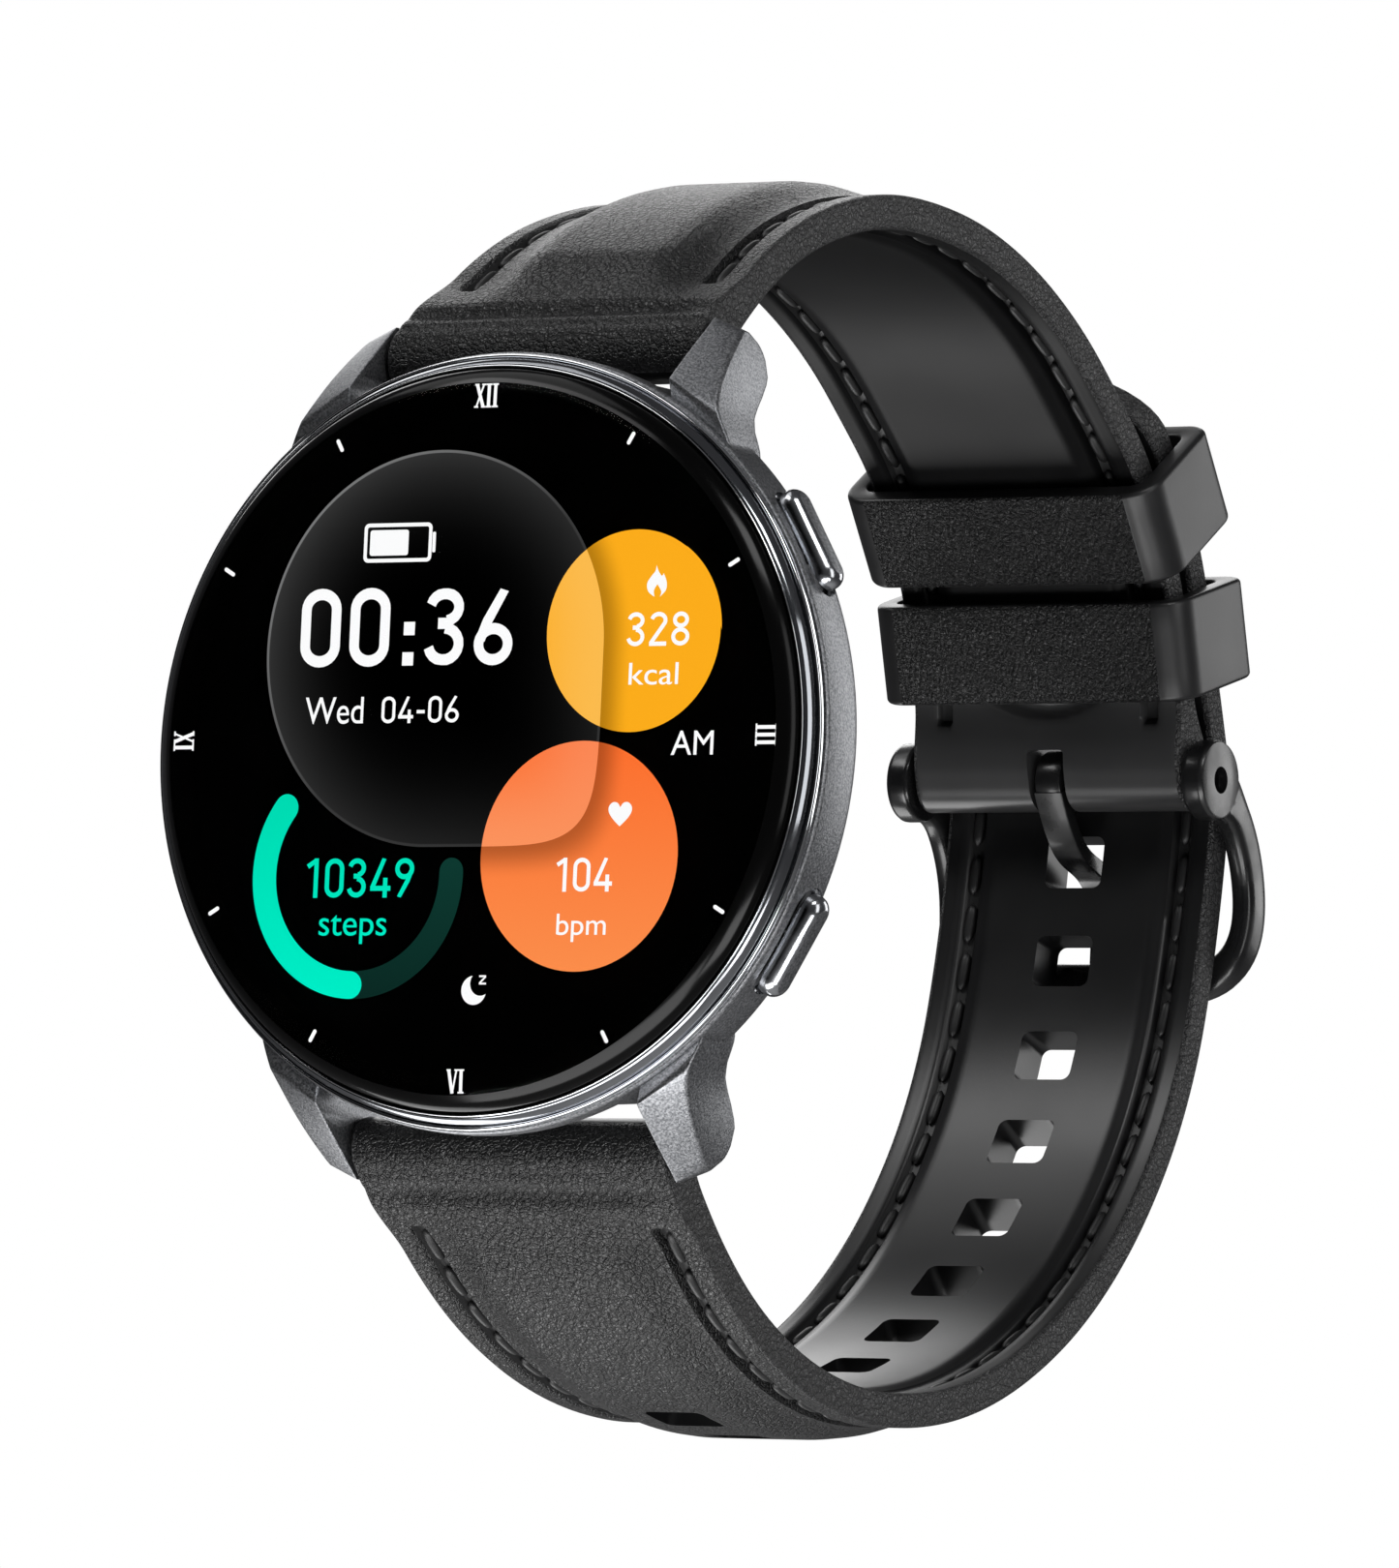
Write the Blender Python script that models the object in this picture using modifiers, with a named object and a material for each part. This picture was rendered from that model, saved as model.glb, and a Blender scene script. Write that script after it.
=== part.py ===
"""Round smartwatch on a tapered two-part strap, buckled into its closed loop.

Frame: metres, +Z towards 12 o'clock, +X towards 3 o'clock, the display faces -Y.
The origin is the centre of the flat rear face of the sensor window, the face
that touches the wrist. Lengths below are millimetres and go through MM.
"""

import math

import bmesh
import bpy
from mathutils import Matrix, Vector

MM = 0.001

# ---- case -----------------------------------------------------------------
CASE_R = 22.9            # flank radius of the mid-frame
CASE_SEG = 64
FRONT_Y = -11.0          # plane of the lit graphics, 11 mm in front of the wrist
GLASS_R = 21.75
GLASS_TOP = FRONT_Y - 0.55
CAVITY_R = 20.7
BUTTON_ANGLE = 30.5      # degrees above and below 3 o'clock
BUTTON_LEN = 6.6
BUTTON_W = 2.1
BUTTON_FACE_R = 23.9
BUTTON_Y = FRONT_Y + 4.4
SCREW_R = 17.8
SCREW_ANGLES = (45.0, 135.0, 225.0, 315.0)

# ---- lugs and spring bars ---------------------------------------------------
LUG_GAP = 22.0           # standard lug width
BAR_Y = FRONT_Y + 7.8
BAR_Z = 23.4
STRAP_BARREL_R = 1.9
RELIEF_Y = FRONT_Y + 3.5     # the flank is cut away behind this plane, between the lugs
RELIEF_Z = 20.8

# ---- strap ------------------------------------------------------------------
STRAP_T = 2.1            # rim thickness
STRAP_W_LUG = 21.6
STRAP_W_END = 19.2
TAPER_LEN = 29.0
HOLE_W, HOLE_L, HOLE_PITCH = 4.0, 3.3, 6.5
HOLES_UP, HOLES_DOWN = 1, 10
TANG_HOLE_Z = -0.8       # height of the hole that the tang is in
PIN_Y, PIN_Z = FRONT_Y + 69.1, 4.25
PIN_BARREL_R = 1.92
PIN_R = 0.7

# centre of the bend where the two straps lie on each other, and their radii
STACK_Y, STACK_Z = FRONT_Y + 41.1, 4.7
SHORT_R, LONG_R = 26.85, 29.9


def on_stack(radius, degrees):
    a = math.radians(degrees)
    return (STACK_Y + radius * math.cos(a), STACK_Z + radius * math.sin(a))


# side view (y, z) of each strap's middle surface, from its spring bar on
LONG_PATH = [(BAR_Y, -BAR_Z), (-1.98, -25.01), (1.8, -28.8), (6.1, -32.0), (10.9, -34.4),
             (16.0, -36.0), (21.3, -36.8), (26.6, -36.8), (31.9, -36.1), (37.1, -34.6),
             (42.0, -32.4), (46.5, -29.6), (50.6, -26.1), (54.1, -22.1), (57.0, -17.6),
             (59.1, -12.7), (60.4, -7.5), (61.2, -2.5), (61.6, 1.5), (61.6, 4.6), (60.5, 8.2),
             on_stack(LONG_R, 15), on_stack(LONG_R, 24), on_stack(LONG_R, 34),
             on_stack(LONG_R, 44), (49.0, 28.9)]
SHORT_PATH = [(BAR_Y, BAR_Z), (-0.5, 26.02), (3.1, 28.9), (7.0, 31.2), (11.2, 32.9),
              (15.6, 34.1), (20.1, 34.7), (24.7, 34.7), (29.2, 34.2), (33.6, 33.1),
              (37.9, 31.4), (41.9, 29.2), (45.6, 26.5), on_stack(SHORT_R, 44),
              on_stack(SHORT_R, 34), on_stack(SHORT_R, 24), on_stack(SHORT_R, 14),
              (56.95, 8.1), (PIN_Y, PIN_Z)]

KEEPER_ANGLES = {"keeper_upper": 35.0, "keeper_lower": 17.0}
KEEPER_H = 6.3
KEEPER_IN = 25.1         # wrist-side inner wall, measured from the bend centre
KEEPER_OUT = 31.75       # outer inner wall
KEEPER_WALL = 1.35
KEEPER_GAP_W = 19.9

PARTS = "smartwatch"
CUTTERS = "cutters"

# ---- scene set-up -----------------------------------------------------------
for old in list(bpy.data.objects):
    bpy.data.objects.remove(old, do_unlink=True)


def collection(name):
    coll = bpy.data.collections.get(name)
    if coll is None:
        coll = bpy.data.collections.new(name)
        bpy.context.scene.collection.children.link(coll)
    return coll


parts = collection(PARTS)
cutters = collection(CUTTERS)


def material(name, colour, rough, metal):
    mat = bpy.data.materials.new(name)
    mat.use_nodes = True
    bsdf = mat.node_tree.nodes["Principled BSDF"]
    bsdf.inputs["Base Color"].default_value = (*colour, 1.0)
    bsdf.inputs["Roughness"].default_value = rough
    bsdf.inputs["Metallic"].default_value = metal
    mat.diffuse_color = (*colour, 1.0)
    return mat


LOOKS = {
    "gunmetal": ((0.16, 0.165, 0.17), 0.42, 1.0),
    "dark_chrome": ((0.30, 0.31, 0.32), 0.10, 1.0),
    "black_glass": ((0.004, 0.004, 0.005), 0.03, 0.0),
    "display": ((0.01, 0.01, 0.012), 0.35, 0.0),
    "gasket": ((0.02, 0.02, 0.02), 0.6, 0.0),
    "board": ((0.02, 0.09, 0.05), 0.45, 0.0),
    "cell": ((0.45, 0.46, 0.48), 0.35, 1.0),
    "steel": ((0.55, 0.55, 0.56), 0.25, 1.0),
    "cover_plastic": ((0.02, 0.02, 0.022), 0.35, 0.0),
    "gold": ((0.75, 0.52, 0.20), 0.22, 1.0),
    "strap": ((0.03, 0.03, 0.031), 0.6, 0.0),
    "keeper": ((0.028, 0.028, 0.03), 0.5, 0.0),
    "buckle": ((0.03, 0.03, 0.032), 0.12, 1.0),
    "seal": ((0.015, 0.015, 0.015), 0.55, 0.0),
}


def take_home(obj, coll):
    for c in list(obj.users_collection):
        c.objects.unlink(obj)
    coll.objects.link(obj)


def dress(obj, name, look):
    obj.name = name
    obj.data.name = name
    take_home(obj, parts)
    obj.data.materials.clear()
    obj.data.materials.append(material(name, *LOOKS[look]))
    obj.data.shade_smooth()
    obj.data.set_sharp_from_angle(angle=math.radians(32))
    return obj


def tidy(obj):
    """Weld, and turn every face of the closed mesh outwards."""
    bm = bmesh.new()
    bm.from_mesh(obj.data)
    bmesh.ops.remove_doubles(bm, verts=bm.verts, dist=2e-7)
    bmesh.ops.recalc_face_normals(bm, faces=bm.faces)
    bm.to_mesh(obj.data)
    bm.free()
    return obj


def settle(obj):
    """Replace the object's mesh with its evaluated mesh in world space."""
    bpy.context.view_layer.update()
    deps = bpy.context.evaluated_depsgraph_get()
    mesh = bpy.data.meshes.new_from_object(obj.evaluated_get(deps))
    mesh.transform(obj.matrix_world)
    obj.modifiers.clear()
    obj.data = mesh
    obj.matrix_world = Matrix.Identity(4)
    return tidy(obj)


def turned(profile, seg=64, name="turned", closed=True):
    """Turn a (radius, y) outline about the Y axis."""
    mesh = bpy.data.meshes.new(name)
    verts = [(r * MM, 0.0, y * MM) for r, y in profile]
    edges = [(i, i + 1) for i in range(len(verts) - 1)]
    if closed:
        edges.append((len(verts) - 1, 0))
    mesh.from_pydata(verts, edges, [])
    obj = bpy.data.objects.new(name, mesh)
    cutters.objects.link(obj)
    screw = obj.modifiers.new("turn", "SCREW")
    screw.axis = "Z"
    screw.steps = seg
    screw.render_steps = seg
    screw.use_merge_vertices = True
    screw.merge_threshold = 1e-6
    obj.rotation_euler = (-math.pi / 2, 0.0, 0.0)
    return settle(obj)


def box(size, centre, rot=None, bevel=0.0, segments=2, name="box"):
    bpy.ops.mesh.primitive_cube_add(size=1.0)
    obj = bpy.context.object
    obj.name = name
    take_home(obj, cutters)
    obj.data.transform(Matrix.Diagonal((size[0] * MM, size[1] * MM, size[2] * MM, 1.0)))
    if bevel:
        mod = obj.modifiers.new("edge", "BEVEL")
        mod.width = bevel * MM
        mod.segments = segments
        mod.limit_method = "NONE"
    obj.matrix_world = Matrix.Translation(Vector(centre) * MM) @ (rot or Matrix.Identity(4))
    return settle(obj)


def cylinder(radius, depth, centre, axis, seg=32, name="cylinder"):
    bpy.ops.mesh.primitive_cylinder_add(vertices=seg, radius=radius * MM, depth=depth * MM)
    obj = bpy.context.object
    obj.name = name
    take_home(obj, cutters)
    turn = Vector(axis).to_track_quat("Z", "Y").to_matrix().to_4x4()
    obj.matrix_world = Matrix.Translation(Vector(centre) * MM) @ turn
    return settle(obj)


def boolean(obj, tool, kind):
    tool.hide_render = True
    tool.display_type = "WIRE"
    mod = obj.modifiers.new(kind, "BOOLEAN")
    mod.operation = kind
    mod.solver = "EXACT"
    mod.object = tool
    settle(obj)
    bpy.data.objects.remove(tool, do_unlink=True)
    return obj


def cut(obj, tool):
    return boolean(obj, tool, "DIFFERENCE")


def join(obj, tool):
    return boolean(obj, tool, "UNION")


def loft(sections, name="loft"):
    """A closed skin over cross-sections that change from one to the next."""
    mesh = bpy.data.meshes.new(name)
    bm = bmesh.new()
    rings = [[bm.verts.new([c * MM for c in p]) for p in ring] for ring in sections]
    n = len(rings[0])
    for a, b in zip(rings[:-1], rings[1:]):
        for i in range(n):
            bm.faces.new((a[i], a[(i + 1) % n], b[(i + 1) % n], b[i]))
    bm.faces.new(rings[0])
    bm.faces.new(rings[-1])
    bm.to_mesh(mesh)
    bm.free()
    obj = bpy.data.objects.new(name, mesh)
    cutters.objects.link(obj)
    return tidy(obj)


def hang_on(obj, pivot_mm):
    """Put the object's origin on its joint axis without moving it."""
    pivot = Vector(pivot_mm) * MM
    obj.data.transform(Matrix.Translation(-pivot))
    obj.location = pivot
    return obj


# ---- smooth side-view curves --------------------------------------------------
def smooth(points, step=0.25):
    """A centripetal Catmull-Rom curve through the points, resampled evenly."""
    pts = [Vector((0.0, *p)) for p in points]
    pts = [pts[0] * 2 - pts[1]] + pts + [pts[-1] * 2 - pts[-2]]
    dense = []
    for i in range(1, len(pts) - 2):
        p0, p1, p2, p3 = pts[i - 1:i + 3]
        t0 = 0.0
        t1 = t0 + (p1 - p0).length ** 0.5
        t2 = t1 + (p2 - p1).length ** 0.5
        t3 = t2 + (p3 - p2).length ** 0.5
        for k in range(24):
            t = t1 + (t2 - t1) * k / 24
            a1 = p0 * ((t1 - t) / (t1 - t0)) + p1 * ((t - t0) / (t1 - t0))
            a2 = p1 * ((t2 - t) / (t2 - t1)) + p2 * ((t - t1) / (t2 - t1))
            a3 = p2 * ((t3 - t) / (t3 - t2)) + p3 * ((t - t2) / (t3 - t2))
            b1 = a1 * ((t2 - t) / (t2 - t0)) + a2 * ((t - t0) / (t2 - t0))
            b2 = a2 * ((t3 - t) / (t3 - t1)) + a3 * ((t - t1) / (t3 - t1))
            dense.append(b1 * ((t2 - t) / (t2 - t1)) + b2 * ((t - t1) / (t2 - t1)))
    dense.append(pts[-2])
    run = [0.0]
    for a, b in zip(dense[:-1], dense[1:]):
        run.append(run[-1] + (b - a).length)
    total = run[-1]
    count = max(2, round(total / step))
    out, j = [], 0
    for k in range(count + 1):
        s = total * k / count
        while j < len(run) - 2 and run[j + 1] < s:
            j += 1
        f = (s - run[j]) / max(run[j + 1] - run[j], 1e-9)
        out.append(dense[j].lerp(dense[j + 1], f))
    # ease out the small kinks between control points, keeping the two ends
    for _ in range(20):
        out = [out[0]] + [(out[i - 1] + out[i] * 2 + out[i + 1]) / 4
                          for i in range(1, len(out) - 1)] + [out[-1]]
    return out, total


class SidePath:
    def __init__(self, points, outer_side):
        self.pts, self.length = smooth(points)
        self.side = outer_side

    def at(self, s):
        """Place, run direction and outward normal at the distance s."""
        n = len(self.pts) - 1
        if s < 0 or s > self.length:
            k = 0 if s < 0 else n - 1
            run = (self.pts[k + 1] - self.pts[k]).normalized()
            end = self.pts[0] if s < 0 else self.pts[n]
            place = end + run * (s if s < 0 else s - self.length)
        else:
            f = s / self.length * n
            k = min(int(f), n - 1)
            place = self.pts[k].lerp(self.pts[k + 1], f - k)
            a = self.pts[max(k - 2, 0)]
            b = self.pts[min(k + 3, n)]
            run = (b - a).normalized()
        out = Vector((0.0, -run.z, run.y)) * self.side
        return place, run, out

    def nearest(self, y, z):
        target = Vector((0.0, y, z))
        k = min(range(len(self.pts)), key=lambda i: (self.pts[i] - target).length)
        return self.length * k / (len(self.pts) - 1)


long_path = SidePath(LONG_PATH, -1.0)
short_path = SidePath(SHORT_PATH, 1.0)


def ramp(x, a, b):
    t = min(max((x - a) / (b - a), 0.0), 1.0)
    return t * t * (3.0 - 2.0 * t)


def strap_width(s):
    return STRAP_W_LUG + (STRAP_W_END - STRAP_W_LUG) * min(max(s / TAPER_LEN, 0.0), 1.0)


def strap_ring(path, s, half, pad_out, pad_in, width):
    """Cross-section: flat rims, and a raised middle on both faces."""
    place, run, out = path.at(s)
    w = width / 2
    soft = min(0.3, half * 0.4)
    flat, rise = min(3.0, w * 0.32), min(4.6, w * 0.48)
    outline = [(w, half - soft), (w - soft, half), (w - flat, half), (w - rise, half + pad_out)]
    outer = outline + [(-x, n) for x, n in reversed(outline)]
    low = [(w, -half + soft), (w - soft, -half), (w - flat, -half), (w - rise, -half - pad_in)]
    inner = [(-x, n) for x, n in low] + list(reversed(low))
    return [place + out * n + Vector((x, 0.0, 0.0)) for x, n in outer + inner]


def strap_stations(length, step, extra):
    marks = set(extra)
    k = 3.2
    while k < length - 2.5:
        marks.add(round(k, 3))
        k += step
    return sorted(marks)


def nose(radius, sign, base):
    """Distances and half-thicknesses of a rounded end."""
    out = []
    for deg in (78, 60, 40, 20, 0):
        a = math.radians(deg)
        out.append((base + sign * radius * math.sin(a), radius * math.cos(a)))
    return out


# ---- case ---------------------------------------------------------------------
Y0 = FRONT_Y
midframe = turned([
    (0.0, Y0 + 1.85), (GLASS_R, Y0 + 1.85), (GLASS_R, Y0 + 2.2), (22.7, Y0 + 2.2),
    (CASE_R, Y0 + 2.42), (CASE_R, Y0 + 5.2), (22.75, Y0 + 5.7), (22.3, Y0 + 6.15),
    (21.2, Y0 + 7.2), (20.4, Y0 + 8.0), (0.0, Y0 + 8.0)], CASE_SEG, closed=False)

# four lugs, each a loft of rounded rectangles from inside the flank to the tip:
# z at the inner face, z at the outer side, outer x, front y, rear y
LUG_SECTIONS = [
    (18.7, 14.9, 15.8, 2.75, 6.9), (20.1, 17.2, 14.9, 2.55, 8.1), (21.1, 19.3, 14.1, 2.45, 9.3),
    (22.6, 21.5, 13.7, 4.0, 9.65), (24.2, 23.3, 13.35, 5.85, 9.1), (25.2, 24.4, 13.1, 7.1, 8.1)]


def lug_ring(z_in, z_out, x1, ya, yb, sx, sz):
    x0, c = LUG_GAP / 2, 0.42
    pts = [(x0 + c * .3, ya), (x1 - c, ya), (x1 - c * .3, ya + c * .3), (x1, ya + c),
           (x1, yb - c), (x1 - c * .3, yb - c * .3), (x1 - c, yb), (x0 + c * .3, yb),
           (x0, yb - c * .3), (x0, ya + c * .3)]
    return [Vector((x * sx, Y0 + y, sz * (z_in + (z_out - z_in) * (x - x0) / (x1 - x0))))
            for x, y in pts]


for sx in (1, -1):
    for sz in (1, -1):
        join(midframe, loft([lug_ring(*row, sx, sz) for row in LUG_SECTIONS]))

# the hollow for the movement, then the room for the two strap ends between the lugs
cut(midframe, turned([
    (0.0, Y0 + 1.0), (CAVITY_R, Y0 + 1.0), (CAVITY_R, Y0 + 6.6), (16.8, Y0 + 6.6),
    (16.8, Y0 + 7.5), (20.05, Y0 + 7.5), (20.05, Y0 + 9.5), (0.0, Y0 + 9.5)], CASE_SEG,
    closed=False))
for sz in (1, -1):
    cut(midframe, box((LUG_GAP, 10.0, 6.0), (0, RELIEF_Y + 5.0, (RELIEF_Z + 3.0) * sz)))
    for sx in (1, -1):
        cut(midframe, cylinder(0.55, 2.6, (LUG_GAP / 2 * sx, BAR_Y, BAR_Z * sz), (1, 0, 0), 16))


def radial_frame(degrees):
    a = math.radians(degrees)
    out = Vector((math.cos(a), 0.0, math.sin(a)))
    along = Vector((-math.sin(a), 0.0, math.cos(a)))
    deep = Vector((0.0, 1.0, 0.0))
    return out, along, deep


def pill(length, width, r_from, r_to, degrees, chamfer=0.0, seg=8):
    """A flat-sided, round-ended block standing on a radius of the case."""
    out, along, deep = radial_frame(degrees)

    def ring(r, shrink):
        half, rad = length / 2 - width / 2, width / 2 - shrink
        pts = []
        for k in range(seg + 1):
            a = -math.pi / 2 + math.pi * k / seg
            pts.append((half + rad * math.cos(a), rad * math.sin(a)))
        for k in range(seg + 1):
            a = math.pi / 2 + math.pi * k / seg
            pts.append((-half + rad * math.cos(a), rad * math.sin(a)))
        base = out * r + deep * BUTTON_Y
        return [base + along * u + deep * v for u, v in pts]

    rings = [ring(r_from, 0.0)]
    if chamfer:
        rings += [ring(r_to - chamfer, 0.0), ring(r_to, chamfer)]
    else:
        rings += [ring(r_to, 0.0)]
    return loft(rings)


buttons = {"upper": BUTTON_ANGLE, "lower": -BUTTON_ANGLE}
for which, deg in buttons.items():
    out, along, deep = radial_frame(deg)
    cut(midframe, pill(BUTTON_LEN + 0.5, BUTTON_W + 0.5, 22.2, 26.0, deg))
    centre = out * 21.2 + deep * BUTTON_Y
    cut(midframe, cylinder(1.12, 4.0, centre, out, 24))
for deg in SCREW_ANGLES:
    a = math.radians(deg)
    cut(midframe, cylinder(0.62, 2.4, (SCREW_R * math.cos(a), Y0 + 7.05, SCREW_R * math.sin(a)),
                           (0, 1, 0), 12))
dress(midframe, "case_midframe", "gunmetal")

bezel = turned([
    (21.85, Y0 + 0.98), (21.98, Y0 + 1.0), (22.42, Y0 + 1.6), (22.46, Y0 + 1.74),
    (22.6, Y0 + 1.72), (22.72, Y0 + 1.98), (22.72, Y0 + 2.1), (21.85, Y0 + 2.1)], CASE_SEG)
dress(bezel, "bezel_ring", "dark_chrome")

glass = turned([
    (0.0, GLASS_TOP), (18.5, GLASS_TOP), (19.7, Y0 - 0.44), (20.6, Y0 - 0.14), (21.25, Y0 + 0.26),
    (21.62, Y0 + 0.62), (GLASS_R, Y0 + 0.9), (GLASS_R, Y0 + 1.6), (20.85, Y0 + 1.6),
    (20.7, Y0 + 0.7), (20.3, Y0 + 0.3), (0.0, Y0 + 0.1)], CASE_SEG, closed=False)
dress(glass, "cover_glass", "black_glass")

gasket = turned([(20.95, Y0 + 1.65), (21.65, Y0 + 1.65), (21.65, Y0 + 1.8), (20.95, Y0 + 1.8)], 40)
dress(gasket, "glass_gasket", "gasket")

display = turned([(0.0, Y0 + 0.3), (19.9, Y0 + 0.42), (19.9, Y0 + 1.2), (0.0, Y0 + 1.2)], 32,
                 closed=False)
dress(display, "display_panel", "display")

board = turned([(0.0, Y0 + 1.6), (19.4, Y0 + 1.6), (19.4, Y0 + 2.2), (0.0, Y0 + 2.2)], 32,
               closed=False)
for size, centre in (((7.0, 1.4, 7.0), (-8.0, Y0 + 2.4, 13.0)), ((5.0, 1.2, 6.0), (3.0, Y0 + 2.4, 13.5)),
                     ((4.0, 1.2, 4.0), (-13.5, Y0 + 2.4, -11.0)), ((9.0, 1.2, 2.4), (0.0, Y0 + 2.4, -15.5))):
    join(board, box(size, centre))
dress(board, "main_board", "board")

battery = box((25.0, 2.9, 20.0), (-3.5, Y0 + 4.95, 0.0), bevel=0.8, segments=2)
dress(battery, "battery", "cell")

motor = turned([(0.0, Y0 + 3.4), (3.7, Y0 + 3.4), (4.0, Y0 + 3.7), (4.0, Y0 + 5.9), (0.0, Y0 + 5.9)],
               24, closed=False)
motor.data.transform(Matrix.Translation(Vector((13.8, 0.0, 0.0)) * MM))
dress(motor, "vibration_motor", "steel")

rear = turned([
    (19.95, Y0 + 7.6), (19.95, Y0 + 8.4), (19.5, Y0 + 9.15), (18.8, Y0 + 9.5), (12.9, Y0 + 9.85),
    (12.35, Y0 + 9.85), (12.35, Y0 + 9.2), (10.9, Y0 + 9.2), (10.9, Y0 + 8.3), (12.6, Y0 + 8.3),
    (16.2, Y0 + 7.6), (18.85, Y0 + 7.6), (18.85, Y0 + 8.15), (19.5, Y0 + 8.15),
    (19.5, Y0 + 7.6)], 48)
for deg in SCREW_ANGLES:
    a = math.radians(deg)
    x, z = SCREW_R * math.cos(a), SCREW_R * math.sin(a)
    cut(rear, cylinder(0.65, 4.0, (x, Y0 + 8.4, z), (0, 1, 0), 12))
    cut(rear, cylinder(1.05, 2.0, (x, Y0 + 9.45, z), (0, 1, 0), 12))
CONTACT_Z = -15.4
for sx in (1, -1):
    cut(rear, cylinder(0.95, 4.0, (1.9 * sx, Y0 + 9.0, CONTACT_Z), (0, 1, 0), 16))
dress(rear, "rear_cover", "cover_plastic")

seal = turned([(19.175 + 0.25 * math.cos(math.radians(a)), Y0 + 7.85 + 0.25 * math.sin(math.radians(a)))
               for a in range(0, -360, -60)], 48)
dress(seal, "rear_seal", "seal")

window = turned([
    (0.0, 0.0), (6.0, 0.0), (9.6, -0.28), (11.4, -0.68), (12.2, -1.1), (12.2, -1.7), (0.0, -1.7)],
    40, closed=False)
dress(window, "sensor_window", "black_glass")

sensor = turned([(0.0, Y0 + 8.4), (10.5, Y0 + 8.4), (10.5, Y0 + 8.9), (0.0, Y0 + 8.9)], 32,
                closed=False)
for size, centre in (((2.2, 0.6, 2.2), (0.0, Y0 + 8.9, 0.0)), ((1.6, 0.6, 2.6), (5.2, Y0 + 8.9, 0.0)),
                     ((1.6, 0.6, 2.6), (-5.2, Y0 + 8.9, 0.0)), ((2.6, 0.6, 1.6), (0.0, Y0 + 8.9, 5.2)),
                     ((2.6, 0.6, 1.6), (0.0, Y0 + 8.9, -5.2))):
    join(sensor, box(size, centre))
dress(sensor, "sensor_board", "board")

for side, sx in (("left", -1), ("right", 1)):
    pad = turned([(0.0, Y0 + 8.0), (0.75, Y0 + 8.0), (0.75, Y0 + 9.42), (0.6, Y0 + 9.52), (0.0, Y0 + 9.52)],
                 16, closed=False)
    pad.data.transform(Matrix.Translation(Vector((1.9 * sx, 0.0, CONTACT_Z)) * MM))
    dress(pad, "charge_contact_" + side, "gold")

for k, deg in enumerate(SCREW_ANGLES, 1):
    a = math.radians(deg)
    screw = turned([(0.0, Y0 + 6.7), (0.5, Y0 + 6.7), (0.5, Y0 + 8.52), (0.95, Y0 + 8.52),
                    (0.95, Y0 + 8.85), (0.85, Y0 + 8.95), (0.0, Y0 + 8.95)], 12, closed=False)
    screw.data.transform(Matrix.Translation(Vector((SCREW_R * math.cos(a), 0.0, SCREW_R * math.sin(a))) * MM))
    cut(screw, box((1.3, 0.5, 0.28), (SCREW_R * math.cos(a), Y0 + 8.95, SCREW_R * math.sin(a))))
    dress(screw, "rear_screw_%d" % k, "steel")

for which, deg in buttons.items():
    out, along, deep = radial_frame(deg)
    push = pill(BUTTON_LEN, BUTTON_W, 22.75, BUTTON_FACE_R, deg, chamfer=0.3)
    join(push, cylinder(0.8, 4.1, out * 21.05 + deep * BUTTON_Y, out, 20))
    dress(push, which + "_button", "gunmetal")
    hang_on(push, out * BUTTON_FACE_R + deep * BUTTON_Y)

    ring = turned([(0.96 + 0.12 * math.cos(math.radians(a)), 0.12 * math.sin(math.radians(a)))
                   for a in range(0, -360, -60)], 20)
    turn = out.to_track_quat("Y", "Z").to_matrix().to_4x4()
    ring.data.transform(Matrix.Translation((out * 21.4 + deep * BUTTON_Y) * MM) @ turn)
    dress(ring, which + "_button_seal", "seal")

    spin = Matrix.Rotation(-math.radians(deg), 4, "Y")
    switch = box((1.3, 1.9, 3.2), out * 17.5 + deep * BUTTON_Y, rot=spin)
    join(switch, cylinder(0.55, 0.8, out * 18.15 + deep * BUTTON_Y, out, 12))
    dress(switch, which + "_button_switch", "steel")

# ---- long strap -----------------------------------------------------------------
L = long_path.length
tang_hole_s = min((k * 0.05 for k in range(int(L * 20)) if long_path.at(k * 0.05)[0].y > 50.0),
                  key=lambda s: abs(long_path.at(s)[0].z - TANG_HOLE_Z))
TIP = 5.2
rings = []
for s, half in nose(STRAP_BARREL_R, -1.0, 0.0):
    rings.append((s, half, 0.0, 0.0, STRAP_W_LUG))
rings.append((1.7, 1.15, 0.0, 0.0, strap_width(1.7)))
stations = strap_stations(L - TIP, 3.0, ())
for s in stations:
    pad = 0.78 * ramp(s, 2.6, 7.0) * (1.0 - 0.5 * ramp(s, 40.0, 62.0))
    inner = 0.30 * ramp(s, 3.0, 9.0) * (1.0 - 0.5 * ramp(s, 84.0, 92.0))
    rings.append((s, STRAP_T / 2, pad, inner, strap_width(s)))
for k in (0.0, 0.35, 0.6, 0.8, 0.93, 0.995):
    fade = 1.0 - ramp(k, 0.0, 0.6)
    rings.append((L - TIP + TIP * k, STRAP_T / 2 * (1.0 - 0.25 * k ** 4), 0.39 * fade, 0.15 * fade,
                  STRAP_W_END * math.sqrt(1.0 - k * k)))
long_strap = loft([strap_ring(long_path, *r) for r in rings])
cut(long_strap, cylinder(0.9, 30.0, (0, BAR_Y, -BAR_Z), (1, 0, 0), 24))


def hole_cutter(path, s):
    place, run, out = path.at(s)
    c = 0.5
    w, h = HOLE_W / 2, HOLE_L / 2
    flat = [(w, h - c), (w - c, h), (-w + c, h), (-w, h - c), (-w, -h + c), (-w + c, -h),
            (w - c, -h), (w, -h + c)]
    return loft([[place + Vector((x, 0, 0)) + run * v + out * n for x, v in flat]
                 for n in (-4.0, 4.0)])


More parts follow.
